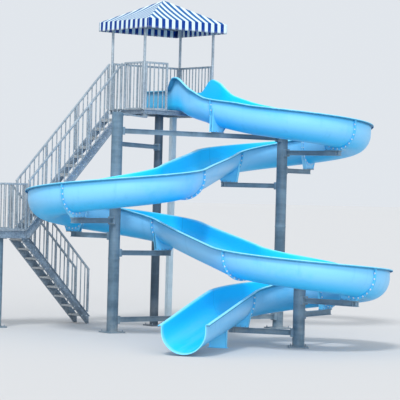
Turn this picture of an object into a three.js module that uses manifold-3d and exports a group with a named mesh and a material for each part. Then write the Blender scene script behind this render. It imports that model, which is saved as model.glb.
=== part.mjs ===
import * as THREE from 'three';
import { mergeVertices } from 'three/addons/utils/BufferGeometryUtils.js';
import Module from 'manifold-3d';

const wasm = await Module();
wasm.setup();

// All lengths are millimetres, Z is up and the origin lies under the left column's base plate.
const SEAT = 0.3;

// Columns: centre, top height, pipe radius and square base plate
const PIPE_R = 122;
const BASE_T = 25;
const COLUMN_A = { x: 0, y: 0, top: 4745, plate: 420, turn: 0 };
const COLUMN_D = { x: 4555, y: -50, top: 4470, plate: 450, turn: 0 };
const COLUMN_E = { x: 1467, y: -4502, top: 1191, plate: 400, turn: -0.643 };
const COLUMN_B = { x: 2165, y: 1490, r: 97, plate: 360, turn: 0 };
const POST_C = { x: 3005, y: 2100, side: 127, plate: 260 };
const WELD_RINGS = { A: 1590, D: 2330 };

// Deck
const DECK = { x: 1364, y: 1003, w: 1976, d: 1338, top: 4904, deep: 105 };
const ENTRY_X = DECK.x + 680;
const GUARD_H = 1070;
const BALUSTER = 20;
const BALUSTER_PITCH = 116;
const LOW_RAIL = 16;
const RAIL = 44;

// Stairs: two flights and a landing between them
const STAIR_Y0 = 1823;
const STAIR_Y1 = 2403;
const RISER = 212.6;
const GOING = 187.2;
const TREAD_T = 72;
const UPPER_RISES = 13;
const STRINGER = { deep: 178, web: 8, flange: 50, flangeT: 11 };
const LANDING = { x0: -2200, x1: -1070, y0: 1823, y1: 3060, deep: 180, wing: 275 };
const LOWER_Y0 = 2460;
const LOWER_Y1 = 3040;
const LOWER_RISES = 10;
const LOWER_GOING = 201;
const LANDING_GUARD_H = 1030;

// Canopy
const CANOPY = { x: 2336, y: 1672, w: 2204, d: 1970, hem: 6699, eave: 6916, apex: 7450, cloth: 6 };
const CANOPY_POST_R = 30;

// Flume section
const WALL_W = 440;
const SHELL = 12;
const LIP_W = 500;
const LIP_DROP = 34;
const FLANGE_W = 488;
const FLANGE_T = 11;
const ARC_STEPS = 5;
const TUB_CORNER = 140;
const TUB_BACK = -1130;
const STEP_TURN = 0.245;

// Flume route: the start, the turns about the columns and the exit
const START = { x: 2690, y: DECK.y, straight: 506 };
const TURNS = [
  { x: START.x + 1128, y: START.y - START.straight, r: 1128, side: 1 },
  { x: 4613, y: -25, r: 1547, side: 1 },
  { x: -175, y: -291, r: 1444, side: -1 },
  { x: 1402, y: -4538, r: 1381, side: 1 },
];
const EXIT = { x: -2064, y: -5378 };

// Bottom height and lip heights along the route, as pairs of distance and height
const BOTTOM = [
  [-1000, DECK.top + SEAT], [60, DECK.top + SEAT], [350, 4755], [700, 4630], [1000, 4540], [1960, 4359],
  [5760, 3942], [9550, 3418], [13300, 2939], [17460, 2406], [21620, 1838], [25160, 1431], [29070, 982],
  [32980, 430], [36270, 32],
];
const LIP_RIGHT = [
  [-1000, 460], [-300, 460], [-180, 505], [10, 752], [300, 760], [650, 677], [850, 612], [1050, 608],
  [1650, 655], [9550, 640], [13300, 690], [21620, 590], [25160, 570], [32980, 655], [36270, 530],
];
const LIP_LEFT = [
  [-1000, 460], [-220, 460], [-90, 540], [200, 810], [400, 860], [800, 825], [1250, 748], [1960, 690],
  [9550, 570], [13300, 632], [21620, 596], [25160, 630], [32980, 654], [36270, 580],
];

// Moulded feet: how far each base reaches from the route's middle line, away from the column and towards it, its
// thickness, and the angles between which its web meets the shell
const FOOT = { outer: 45, inner: 335, t: 60, from: -45, to: 75 };
const SADDLE = { outer: 200, inner: 200, t: 60, from: -64, to: 64 };
const EXIT_FOOT = { s: 33900, outer: 170, inner: 170, t: 60, from: -23, to: 23 };

// Joints between flume pieces, and the arm that carries each: column, top height of the arm and foot
const JOINTS = [
  { s: 985, carrier: 'tie', top: 4405, inward: -1, foot: FOOT },
  { s: 3900, carrier: 'D', top: 4078, inward: 1, foot: FOOT },
  { s: 6720, carrier: 'D', top: 3673, inward: 1, foot: SADDLE },
  { s: 9020, carrier: 'D', top: 3316, inward: 1, foot: FOOT },
  { s: 13280 },
  { s: 16130, carrier: 'A', top: 2469, inward: -1, foot: FOOT },
  { s: 18740, carrier: 'A', top: 2132, inward: -1, foot: SADDLE },
  { s: 21060, carrier: 'A', top: 1776, inward: -1, foot: FOOT },
  { s: 25500 },
  { s: 28100, carrier: 'E', top: 1010, inward: 1, foot: FOOT },
  { s: 30460, carrier: 'E', top: 715, inward: 1, foot: FOOT },
  { s: 32900, carrier: 'E', top: 350, inward: 1, foot: FOOT },
];
const ARM = { w: 90, h: 108, over: 60, plate: 14 };
const TIE = { w: 90, upperTop: 4405, lowerTop: 332, deep: 108 };

const finishes = {
  steel: { color: 0x8792a0, roughness: 0.55, metalness: 0.7 },
  rail: { color: 0xa4acb6, roughness: 0.5, metalness: 0.7 },
  plate: { color: 0x9aa2ab, roughness: 0.6, metalness: 0.6 },
  post: { color: 0xb9bfc6, roughness: 0.6, metalness: 0.5 },
  flume: { color: 0x4fb4ee, roughness: 0.28, metalness: 0.0 },
  canopy: { color: 0x1f63c4, roughness: 0.85, metalness: 0.0 },
};

const tower = new THREE.Group();
tower.name = 'water_slide_tower';

function section(name) {
  const group = new THREE.Group();
  group.name = name;
  tower.add(group);
  return group;
}

// Turns a closed geometry into a solid for booleans
function solid(geometry) {
  geometry.deleteAttribute('normal');
  geometry.deleteAttribute('uv');
  const merged = mergeVertices(geometry, 0.001);
  const vertProperties = new Float32Array(merged.attributes.position.array);
  const triVerts = new Uint32Array(merged.index.array);
  return new wasm.Manifold(new wasm.Mesh({ numProp: 3, vertProperties, triVerts }));
}

function fuse(bodies) {
  return bodies.reduce((sum, body) => sum.add(body));
}

// Adds one solid to a group as a named mesh placed at the middle of its own bounds
function place(group, name, body, finish) {
  const mesh = body.getMesh();
  const geometry = new THREE.BufferGeometry();
  geometry.setAttribute('position', new THREE.BufferAttribute(new Float32Array(mesh.vertProperties), 3));
  geometry.setIndex(new THREE.BufferAttribute(new Uint32Array(mesh.triVerts), 1));
  geometry.computeBoundingBox();
  const middle = geometry.boundingBox.getCenter(new THREE.Vector3());
  geometry.translate(-middle.x, -middle.y, -middle.z);
  geometry.computeVertexNormals();
  const node = new THREE.Mesh(geometry, new THREE.MeshStandardMaterial(finishes[finish]));
  node.name = name;
  node.position.copy(middle);
  group.add(node);
}

function vec(x, y, z) {
  return new THREE.Vector3(x, y, z);
}

function block(x0, x1, y0, y1, z0, z1) {
  const geometry = new THREE.BoxGeometry(x1 - x0, y1 - y0, z1 - z0);
  geometry.translate((x0 + x1) / 2, (y0 + y1) / 2, (z0 + z1) / 2);
  return solid(geometry);
}

// A plate or post centred in plan and turned about its own upright axis
function turned(w, d, z0, z1, x, y, turn) {
  const geometry = new THREE.BoxGeometry(w, d, z1 - z0);
  geometry.rotateZ(turn);
  geometry.translate(x, y, (z0 + z1) / 2);
  return solid(geometry);
}

function pipe(x, y, r, z0, z1, sides = 24) {
  const geometry = new THREE.CylinderGeometry(r, r, z1 - z0, sides);
  geometry.rotateX(Math.PI / 2);
  geometry.translate(x, y, (z0 + z1) / 2);
  return solid(geometry);
}

// A rectangular bar between two points, its height in the upright plane through them
function bar(a, b, width, height) {
  const along = b.clone().sub(a);
  const length = along.length();
  along.normalize();
  const upright = Math.abs(along.z) > 0.999;
  const side = upright ? vec(0, 1, 0) : vec(-along.y, along.x, 0).normalize();
  const frame = new THREE.Matrix4().makeBasis(along, side, along.clone().cross(side));
  frame.setPosition(a.clone().add(b).multiplyScalar(0.5));
  const geometry = new THREE.BoxGeometry(length, width, height);
  geometry.applyMatrix4(frame);
  return solid(geometry);
}

// A flat outline in the X-Z plane carried from y0 to y1
function slab(points, y0, y1) {
  const shape = new THREE.Shape(points.map(([x, z]) => new THREE.Vector2(x, z)));
  const geometry = new THREE.ExtrudeGeometry(shape, { depth: y1 - y0, bevelEnabled: false });
  geometry.rotateX(Math.PI / 2);
  geometry.translate(0, y1, 0);
  return solid(geometry);
}

// Smooth height through pairs of distance and value
function curve(knots) {
  const slope = (i) => {
    const a = knots[Math.max(i - 1, 0)];
    const b = knots[Math.min(i + 1, knots.length - 1)];
    return (b[1] - a[1]) / (b[0] - a[0]);
  };
  return (s) => {
    let i = knots.findIndex((k) => k[0] > s) - 1;
    if (i < 0) i = s < knots[0][0] ? 0 : knots.length - 2;
    const [s0, v0] = knots[i];
    const [s1, v1] = knots[i + 1];
    const span = s1 - s0;
    const t = Math.min(Math.max((s - s0) / span, 0), 1);
    const rise = (v1 - v0) / span;
    const m0 = slopeLimit(slope(i), rise);
    const m1 = slopeLimit(slope(i + 1), rise);
    const t2 = t * t;
    const t3 = t2 * t;
    return (2 * t3 - 3 * t2 + 1) * v0 + (t3 - 2 * t2 + t) * span * m0
      + (3 * t2 - 2 * t3) * v1 + (t3 - t2) * span * m1;
  };
}

// Keeps a smooth curve from overshooting its knots
function slopeLimit(wanted, rise) {
  if (rise === 0 || wanted * rise < 0) return 0;
  return Math.sign(rise) * Math.min(Math.abs(wanted), 2.5 * Math.abs(rise));
}

// The route as straight and curved runs laid end to end by common tangents
function layRoute() {
  const runs = [];
  let at = { x: START.x, y: START.y };
  let heading = -Math.PI / 2;
  let s = 0;
  const push = (length, bend) => {
    runs.push({ s, length, x: at.x, y: at.y, heading, bend });
    s += length;
  };
  push(START.straight, 0);
  TURNS.forEach((turn, i) => {
    const next = TURNS[i + 1] ?? { ...EXIT, r: 0, side: 1 };
    const dx = next.x - turn.x;
    const dy = next.y - turn.y;
    const offset = (next.side * next.r - turn.side * turn.r) / Math.hypot(dx, dy);
    const leave = Math.atan2(dy, dx) - Math.asin(offset);
    const sweep = (((leave - heading) * turn.side) % (2 * Math.PI) + 2 * Math.PI) % (2 * Math.PI);
    const touch = (c, h) => ({ x: c.x + c.side * c.r * Math.sin(h), y: c.y - c.side * c.r * Math.cos(h) });
    at = touch(turn, heading);
    push(sweep * turn.r, turn.side / turn.r);
    heading = leave;
    at = touch(turn, heading);
    const far = touch(next, heading);
    push(Math.hypot(far.x - at.x, far.y - at.y), 0);
  });
  return runs;
}

const route = layRoute();
const lastRun = route[route.length - 1];
const ROUTE_END = lastRun.s + lastRun.length;

function track(s) {
  const run = route.findLast((r) => r.s <= s) ?? route[0];
  const d = s - run.s;
  const heading = run.heading + d * run.bend;
  if (run.bend === 0) {
    return { x: run.x + d * Math.cos(heading), y: run.y + d * Math.sin(heading), heading };
  }
  const x = run.x + (Math.sin(heading) - Math.sin(run.heading)) / run.bend;
  const y = run.y - (Math.cos(heading) - Math.cos(run.heading)) / run.bend;
  return { x, y, heading };
}

const bottomAt = curve(BOTTOM);
const lipRight = curve(LIP_RIGHT);
const lipLeft = curve(LIP_LEFT);
const cornerAt = curve([[-1000, TUB_CORNER], [100, TUB_CORNER], [760, WALL_W], [40000, WALL_W]]);

// Half of the trough's line from the wall top down to the middle of the floor
function halfTrough(half, corner, grow, floor) {
  const points = [];
  for (let i = 0; i <= ARC_STEPS; i += 1) {
    const a = (i / ARC_STEPS) * (Math.PI / 2);
    const w = half - corner + (corner + grow) * Math.cos(a);
    const h = corner - (corner + grow) * Math.sin(a);
    points.push([w, Math.max(h, floor)]);
  }
  return points;
}

// Closed cross-section at one distance, as points of sideways offset and height above the floor
function flumeSection(s, flanged, floor) {
  const corner = cornerAt(s);
  const side = (lip) => {
    const rim = [[WALL_W - SHELL, lip], [LIP_W, lip], [LIP_W, lip - LIP_DROP], [FLANGE_W, lip - LIP_DROP]];
    if (flanged) {
      rim.push([FLANGE_W, lip - LIP_DROP], [FLANGE_W, lip - LIP_DROP]);
      return rim.concat(halfTrough(WALL_W, corner, FLANGE_W - WALL_W, floor));
    }
    rim.push([FLANGE_W, lip - SHELL], [WALL_W, lip - SHELL]);
    return rim.concat(halfTrough(WALL_W, corner, 0, -1e6));
  };
  const inner = halfTrough(WALL_W, corner, -SHELL, -1e6);
  const left = side(lipLeft(s));
  const right = side(lipRight(s)).map(([w, h]) => [-w, h]).reverse();
  const back = inner.map(([w, h]) => [-w, h]).concat(inner.slice().reverse());
  return left.concat(right, back);
}

// Distances of the cross-sections of one piece, closer together where the route bends
function stationsBetween(a, b) {
  const bends = [];
  for (const run of route) {
    const r0 = Math.max(run.s, a);
    const r1 = Math.min(run.s + run.length, b);
    if (r1 - r0 < 1) continue;
    const steps = Math.max(1, Math.ceil(((r1 - r0) * Math.abs(run.bend)) / STEP_TURN - 0.02));
    for (let i = 0; i < steps; i += 1) bends.push(r0 + ((r1 - r0) * i) / steps);
  }
  return bends.filter((s) => s > a + 60 && s < b - 60);
}

// One flume piece: the section carried along the route with a flange at either end
function flumePiece(a, b, flangeStart, flangeEnd, floorStart, floorEnd) {
  const rings = [];
  const put = (s, flanged, floor) => {
    const t = track(s);
    const nx = -Math.sin(t.heading);
    const ny = Math.cos(t.heading);
    const base = bottomAt(s);
    rings.push(flumeSection(s, flanged, floor).map(([w, h]) => [t.x + nx * w, t.y + ny * w, base + h]));
  };
  if (flangeStart) {
    put(a, true, floorStart);
    put(a + FLANGE_T, true, floorStart);
    put(a + FLANGE_T, false, 0);
  } else {
    put(a, false, 0);
  }
  stationsBetween(a, b).forEach((s) => put(s, false, 0));
  if (flangeEnd) {
    put(b - FLANGE_T, false, 0);
    put(b - FLANGE_T, true, floorEnd);
    put(b, true, floorEnd);
  } else {
    put(b, false, 0);
  }
  return skin(rings);
}

// Closes a row of rings into a solid, leaving out faces that have shrunk to nothing
function skin(rings) {
  const count = rings[0].length;
  const positions = [];
  const known = new Map();
  const index = rings.map((ring) => ring.map((p) => {
    const key = p.map((v) => Math.round(v * 100)).join(' ');
    if (!known.has(key)) {
      known.set(key, positions.length / 3);
      positions.push(...p);
    }
    return known.get(key);
  }));
  const faces = [];
  const face = (a, b, c) => {
    if (a !== b && b !== c && c !== a) faces.push(a, b, c);
  };
  for (let r = 0; r + 1 < rings.length; r += 1) {
    for (let i = 0; i < count; i += 1) {
      const j = (i + 1) % count;
      face(index[r][i], index[r + 1][i], index[r][j]);
      face(index[r][j], index[r + 1][i], index[r + 1][j]);
    }
  }
  capRing(rings[0], index[0], face, false);
  capRing(rings[rings.length - 1], index[rings.length - 1], face, true);
  const geometry = new THREE.BufferGeometry();
  geometry.setAttribute('position', new THREE.BufferAttribute(new Float32Array(positions), 3));
  geometry.setIndex(faces);
  return solid(geometry);
}

// Fills one end ring, laid out flat in its own upright plane
function capRing(ring, index, face, atEnd) {
  const mid = ring.reduce((m, p) => [m[0] + p[0] / ring.length, m[1] + p[1] / ring.length], [0, 0]);
  const dx = ring[1][0] - ring[ring.length / 2][0];
  const dy = ring[1][1] - ring[ring.length / 2][1];
  const span = Math.hypot(dx, dy);
  const flat = [];
  const keep = [];
  ring.forEach((p, i) => {
    if (keep.length && index[i] === keep[keep.length - 1]) return;
    if (i === ring.length - 1 && index[i] === keep[0]) return;
    keep.push(index[i]);
    flat.push(new THREE.Vector2(((p[0] - mid[0]) * dx + (p[1] - mid[1]) * dy) / span, p[2]));
  });
  const turnsLeft = THREE.ShapeUtils.isClockWise(flat);
  for (const [a, b, c] of THREE.ShapeUtils.triangulateShape(flat, [])) {
    if (turnsLeft === atEnd) face(keep[a], keep[b], keep[c]);
    else face(keep[a], keep[c], keep[b]);
  }
}

// The moulded foot under a joint, from the shell down to the flat top of its arm, set towards the column
function flumeFoot(s, drop, inward, foot) {
  const t = track(s);
  const outline = [];
  const r = WALL_W - SHELL / 2;
  for (let i = 0; i <= 6; i += 1) {
    const a = THREE.MathUtils.degToRad(foot.from + ((foot.to - foot.from) * i) / 6);
    outline.push([r * Math.sin(a), WALL_W - r * Math.cos(a)]);
  }
  outline.push([foot.inner, -drop], [-foot.outer, -drop]);
  const shape = new THREE.Shape(outline.map(([w, h]) => new THREE.Vector2(w * inward, h)));
  const geometry = new THREE.ExtrudeGeometry(shape, { depth: foot.t, bevelEnabled: false });
  // The outline's X runs to the left of travel, its Y up and its depth along the route
  const ahead = vec(Math.cos(t.heading), Math.sin(t.heading), 0);
  const left = vec(-ahead.y, ahead.x, 0);
  const frame = new THREE.Matrix4().makeBasis(left, vec(0, 0, 1), ahead);
  frame.setPosition(t.x, t.y, bottomAt(s));
  geometry.applyMatrix4(frame);
  return solid(geometry);
}

function dropAt(joint) {
  return bottomAt(joint.s) - joint.top - ARM.plate - SEAT;
}

// Supports
const supports = section('supports');

function column(spec, top, ring) {
  const bodies = [
    turned(spec.plate, spec.plate, 0, BASE_T, spec.x, spec.y, spec.turn),
    pipe(spec.x, spec.y, PIPE_R, BASE_T - 1, top),
  ];
  if (ring) bodies.push(pipe(spec.x, spec.y, PIPE_R + 5, ring - 14, ring + 14));
  bodies.push(pipe(spec.x, spec.y, PIPE_R - 14, top - 1, top + 8));
  return fuse(bodies);
}

place(supports, 'column_left', column(COLUMN_A, COLUMN_A.top, WELD_RINGS.A), 'steel');
place(supports, 'column_right', column(COLUMN_D, COLUMN_D.top, WELD_RINGS.D), 'steel');
place(supports, 'column_front', column(COLUMN_E, COLUMN_E.top, 0), 'steel');
place(supports, 'column_deck', fuse([
  turned(COLUMN_B.plate, COLUMN_B.plate, 0, BASE_T, COLUMN_B.x, COLUMN_B.y, 0),
  pipe(COLUMN_B.x, COLUMN_B.y, COLUMN_B.r, BASE_T - 1, DECK.top - DECK.deep - 19),
  turned(330, 330, DECK.top - DECK.deep - 20, DECK.top - DECK.deep - SEAT, COLUMN_B.x, COLUMN_B.y, 0),
]), 'steel');
place(supports, 'post_deck', fuse([
  turned(POST_C.plate, POST_C.plate, 0, 20, POST_C.x, POST_C.y, 0),
  turned(POST_C.side, POST_C.side, 19, DECK.top - DECK.deep - 15, POST_C.x, POST_C.y, 0),
  turned(200, 200, DECK.top - DECK.deep - 16, DECK.top - DECK.deep - SEAT, POST_C.x, POST_C.y, 0),
]), 'post');

// A beam between two round columns, ending in coped plates against each pipe
function columnBeam(a, b, top, deep, width, padOut) {
  const ra = a.r ?? PIPE_R;
  const rb = b.r ?? PIPE_R;
  const pa = vec(a.x, a.y, top - deep / 2);
  const pb = vec(b.x, b.y, top - deep / 2);
  const dir = pb.clone().sub(pa).normalize();
  const body = fuse([
    bar(pa, pb, width, deep),
    bar(pa, pa.clone().addScaledVector(dir, ra + padOut), width + 70, deep + 60),
    bar(pb, pb.clone().addScaledVector(dir, -rb - padOut), width + 70, deep + 60),
  ]);
  const high = top + 100;
  const low = top - deep - 100;
  return body
    .subtract(pipe(a.x, a.y, ra + SEAT, low, high))
    .subtract(pipe(b.x, b.y, rb + SEAT, low, high))
    .subtract(pipe(a.x - dir.x * 300, a.y - dir.y * 300, 250, low, high))
    .subtract(pipe(b.x + dir.x * 300, b.y + dir.y * 300, 250, low, high));
}

place(supports, 'tie_upper', columnBeam(COLUMN_A, COLUMN_D, TIE.upperTop, TIE.deep, TIE.w, 32), 'steel');
place(supports, 'tie_lower', columnBeam(COLUMN_A, COLUMN_D, TIE.lowerTop, TIE.deep, TIE.w, 32), 'steel');
place(supports, 'beam_deck', columnBeam(COLUMN_A, COLUMN_B, 4119, 96, 70, 32), 'steel');

// The arm from the left column's head to a packing block under the deck's near corner
const headTip = vec(DECK.x + 170, DECK.y + 125, COLUMN_A.top - 36);
const headDir = headTip.clone().setZ(0).normalize();
const gusset = slab([[0, headTip.z], [330, headTip.z], [0, headTip.z - 200]], -6, 6)
  .rotate([0, 0, (Math.atan2(headDir.y, headDir.x) * 180) / Math.PI]);
place(supports, 'arm_deck', fuse([
  bar(vec(0, 0, headTip.z), headTip, 80, 60),
  gusset,
  block(DECK.x + 70, DECK.x + 170, DECK.y + 50, DECK.y + 150, headTip.z, DECK.top - DECK.deep - SEAT),
])
  .subtract(pipe(0, 0, PIPE_R + SEAT, 4000, 4900))
  .subtract(pipe(-300 * headDir.x, -300 * headDir.y, 250, 4000, 4900)), 'steel');

const columnsByName = { A: COLUMN_A, D: COLUMN_D, E: COLUMN_E };

// A cantilever arm from a column out under a flume joint, with a pad for the moulded foot
function flumeArm(joint) {
  const post = columnsByName[joint.carrier];
  const t = track(joint.s + joint.foot.t / 2);
  const top = joint.top;
  const root = vec(post.x, post.y, top - ARM.h / 2);
  const under = vec(t.x, t.y, top - ARM.h / 2);
  const dir = under.clone().sub(root).normalize();
  const tip = under.clone().addScaledVector(dir, ARM.over);
  return fuse([
    bar(root, tip, ARM.w, ARM.h),
    bar(root, root.clone().addScaledVector(dir, PIPE_R + 26), ARM.w + 80, ARM.h + 60),
    footPad(joint, top - 1, top + ARM.plate),
  ])
    .subtract(pipe(post.x, post.y, PIPE_R + SEAT, top - 300, top + 300))
    .subtract(pipe(post.x - dir.x * 300, post.y - dir.y * 300, 250, top - 300, top + 300));
}

// The flat plate a moulded foot is bolted to, centred under the foot
function footPad(joint, z0, z1) {
  const { inner, outer, t: thick } = joint.foot;
  const t = track(joint.s + thick / 2);
  const shift = ((inner - outer) / 2) * joint.inward;
  const x = t.x - Math.sin(t.heading) * shift;
  const y = t.y + Math.cos(t.heading) * shift;
  return turned(thick + 60, inner + outer + 24, z0, z1, x, y, t.heading);
}

const armNames = { A: 'left', D: 'right', E: 'front' };
const armCount = { A: 0, D: 0, E: 0 };
for (const joint of JOINTS) {
  if (!columnsByName[joint.carrier]) continue;
  armCount[joint.carrier] += 1;
  place(supports, `arm_${armNames[joint.carrier]}_${armCount[joint.carrier]}`, flumeArm(joint), 'steel');
}

// Flume
const flume = section('flume');
const marks = [TUB_BACK, ...JOINTS.map((j) => j.s), ROUTE_END];
for (let i = 0; i + 1 < marks.length; i += 1) {
  const before = JOINTS[i - 1];
  const after = JOINTS[i];
  const a = i === 0 ? marks[0] : marks[i] + SEAT / 2;
  const b = after ? marks[i + 1] - SEAT / 2 : marks[i + 1];
  const floorOf = (joint) => (joint?.top ? -dropAt(joint) : -1e6);
  let body = flumePiece(a, b, i > 0, Boolean(after), floorOf(before), floorOf(after));
  if (before?.top) body = body.add(flumeFoot(a, dropAt(before), before.inward, before.foot));
  place(flume, `flume_${String(i).padStart(2, '0')}`, body, 'flume');
}

// The pad on the upper tie under the first joint, and the foot under the exit
place(supports, 'pad_tie', footPad(JOINTS[0], TIE.upperTop + SEAT, TIE.upperTop + ARM.plate), 'steel');

// The trough's outer line at one distance, a little clear of the shell
function clearRing(s) {
  const t = track(s);
  const half = halfTrough(WALL_W, WALL_W, SEAT, -1e6);
  const line = half.concat(half.map(([w, h]) => [-w, h]).reverse());
  return line.map(([w, h]) => [t.x - Math.sin(t.heading) * w, t.y + Math.cos(t.heading) * w, bottomAt(s) + h]);
}

const exitTrack = track(EXIT_FOOT.s + EXIT_FOOT.t / 2);
place(flume, 'exit_foot', flumeFoot(EXIT_FOOT.s, bottomAt(EXIT_FOOT.s) - 10, 1, EXIT_FOOT)
  .subtract(skin([clearRing(lastRun.s), clearRing(ROUTE_END)]))
  .add(turned(150, 420, 0, 12, exitTrack.x, exitTrack.y, exitTrack.heading)), 'flume');

// Deck
const deck = section('deck');
const deckX1 = DECK.x + DECK.w;
const deckY1 = DECK.y + DECK.d;
const under = DECK.top - DECK.deep;
place(deck, 'deck_platform', fuse([
  block(DECK.x, deckX1, DECK.y, deckY1, DECK.top - 12, DECK.top),
  block(DECK.x, DECK.x + 60, DECK.y, deckY1, under, DECK.top - 11),
  block(deckX1 - 60, deckX1, DECK.y, deckY1, under, DECK.top - 11),
  block(DECK.x, deckX1, DECK.y, DECK.y + 60, under, DECK.top - 11),
  block(DECK.x, deckX1, deckY1 - 60, deckY1, under, DECK.top - 11),
  block(COLUMN_B.x - 50, COLUMN_B.x + 50, DECK.y, deckY1, under, DECK.top - 11),
  block(POST_C.x - 50, POST_C.x + 50, DECK.y, deckY1, under, DECK.top - 11),
]), 'plate');

// A guard panel: top rail, lower rail, end stiles and bars, standing on a level or sloping line
function guardPanel(a, b, height, lowRail, stiles) {
  const run = b.clone().sub(a);
  const flat = Math.hypot(run.x, run.y);
  const up = (p, h) => p.clone().add(vec(0, 0, h));
  const at = (t, h) => up(a.clone().addScaledVector(run, t), h);
  const slope = Math.abs(run.z / flat);
  const bodies = [bar(up(a, height - RAIL / 2), up(b, height - RAIL / 2), RAIL, RAIL)];
  if (lowRail) bodies.push(bar(up(a, lowRail), up(b, lowRail), 30, 31));
  for (const t of stiles) {
    bodies.push(bar(at(t, SEAT + 23 * slope), at(t, height - RAIL / 2), 46, 46));
  }
  const count = Math.round(flat / BALUSTER_PITCH);
  for (let i = 1; i < count; i += 1) {
    const t = i / count;
    if (stiles.some((s) => Math.abs(s - t) * flat < 50)) continue;
    const foot = lowRail || SEAT + (BALUSTER / 2) * slope;
    bodies.push(bar(at(t, foot), at(t, height - RAIL / 2), BALUSTER, BALUSTER));
  }
  return fuse(bodies);
}

const postIn = 32;
const c0 = vec(DECK.x + postIn, DECK.y + postIn, DECK.top);
const c1 = vec(deckX1 - postIn, deckY1 - postIn, DECK.top);
const gap = CANOPY_POST_R + SEAT;
const stileEnds = (length) => [23 / length, 1 - 23 / length];

function deckGuard(name, a, b) {
  const length = a.distanceTo(b);
  const stiles = stileEnds(length);
  if (length > 1400) stiles.push(0.5);
  place(deck, name, guardPanel(a, b, GUARD_H, LOW_RAIL, stiles), 'rail');
}

deckGuard('guard_front', vec(c0.x + gap, c0.y, DECK.top), vec(ENTRY_X, c0.y, DECK.top));
deckGuard('guard_right', vec(c1.x, c0.y + gap, DECK.top), vec(c1.x, c1.y - gap, DECK.top));
deckGuard('guard_back', vec(c0.x + gap, c1.y, DECK.top), vec(c1.x - gap, c1.y, DECK.top));
deckGuard('guard_left', vec(c0.x, c0.y + gap, DECK.top), vec(c0.x, STAIR_Y0 - 24, DECK.top));

// Stairs
const stairs = section('stairs');

// A stringer of channel section, cut plumb at both ends
function stringer(xTop, zTop, xFoot, zFoot, y0, outward) {
  const slope = (zTop - zFoot) / (xTop - xFoot);
  const tall = STRINGER.deep * Math.hypot(1, slope);
  const flangeTall = STRINGER.flangeT * Math.hypot(1, slope);
  const plank = (a, b, drop, height) => slab([
    [xTop, zTop - drop], [xTop, zTop - drop - height], [xFoot, zFoot - drop - height], [xFoot, zFoot - drop],
  ], a, b);
  const yWeb = [y0, y0 + STRINGER.web];
  const yOut = outward > 0 ? [y0, y0 + STRINGER.flange] : [y0 + STRINGER.web - STRINGER.flange, y0 + STRINGER.web];
  return [
    plank(yWeb[0], yWeb[1], 0, tall),
    plank(yOut[0], yOut[1], 0, flangeTall),
    plank(yOut[0], yOut[1], tall - flangeTall, flangeTall),
  ];
}

// One flight: two stringers and its treads as a single welded piece
function flight(xTop, zTop, dir, rises, riser, going, run, y0, y1, zCut, lift) {
  const slope = riser / going;
  const xFoot = xTop + dir * run;
  const zFoot = zTop - run * slope;
  const bodies = [
    ...stringer(xTop, zTop + lift, xFoot, zFoot + lift, y0 + STRINGER.flange - STRINGER.web, -1),
    ...stringer(xTop, zTop + lift, xFoot, zFoot + lift, y1 - STRINGER.flange, 1),
  ];
  for (let i = 1; i < rises; i += 1) {
    const nose = xTop + dir * i * going;
    const z = zTop - i * riser;
    const back = nose - dir * 225 + dir * 20;
    const x0 = Math.min(nose + dir * 20, back);
    const x1 = Math.max(nose + dir * 20, back);
    bodies.push(block(x0, x1, y0 + STRINGER.flange - 2, y1 - STRINGER.flange + 2, z - TREAD_T, z));
  }
  const body = fuse(bodies);
  const far = 4000;
  return body
    .subtract(block(xTop - far, xTop + far, y0 - 100, y1 + 100, zCut - far, zCut))
    .subtract(dir < 0
      ? block(xTop - SEAT, xTop + 500, y0 - 100, y1 + 100, zTop - 900, zTop + 900)
      : block(xTop - 500, xTop + SEAT, y0 - 100, y1 + 100, zTop - 900, zTop + 900));
}

const upper = flight(DECK.x, DECK.top, -1, UPPER_RISES, RISER, GOING, DECK.x - LANDING.x1 - SEAT, STAIR_Y0, STAIR_Y1,
  DECK.top - UPPER_RISES * RISER - LANDING.deep, 10);
place(stairs, 'flight_upper', upper, 'plate');
const landingTop = DECK.top - UPPER_RISES * RISER;
const lowerRiser = landingTop / LOWER_RISES;
const lowerTopX = LANDING.x1 + LANDING.wing;
const lower = flight(lowerTopX, landingTop, 1, LOWER_RISES, lowerRiser, LOWER_GOING,
  (LOWER_RISES - 1) * LOWER_GOING + 40, LOWER_Y0, LOWER_Y1, 0, 10);
place(stairs, 'flight_lower', lower, 'plate');

place(stairs, 'landing_platform', fuse([
  block(LANDING.x0, LANDING.x1, LANDING.y0, LANDING.y1, landingTop - 12, landingTop),
  block(LANDING.x0, LANDING.x0 + 60, LANDING.y0, LANDING.y1, landingTop - LANDING.deep, landingTop - 11),
  block(LANDING.x1 - 60, LANDING.x1, LANDING.y0, LANDING.y1, landingTop - LANDING.deep, landingTop - 11),
  block(LANDING.x0, LANDING.x1, LANDING.y0, LANDING.y0 + 60, landingTop - LANDING.deep, landingTop - 11),
  block(LANDING.x0, LANDING.x1, LANDING.y1 - 60, LANDING.y1, landingTop - LANDING.deep, landingTop - 11),
  block(-1700, -1560, LANDING.y0, LANDING.y1, landingTop - LANDING.deep, landingTop - 11),
  block(LANDING.x1 - 60, lowerTopX, STAIR_Y1 + 20, LANDING.y1, landingTop - LANDING.deep, landingTop),
]), 'plate');
const landingPosts = [
  ['column_landing_near', -1630, LANDING.y0 + 240],
  ['column_landing_far', -1630, LANDING.y1 - 240],
];
for (const [name, x, y] of landingPosts) {
  place(supports, name, fuse([
    turned(320, 320, 0, 20, x, y, 0),
    pipe(x, y, 84, 19, landingTop - LANDING.deep - 15),
    turned(240, 240, landingTop - LANDING.deep - 16, landingTop - LANDING.deep - SEAT, x, y, 0),
  ]), 'steel');
}

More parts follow.
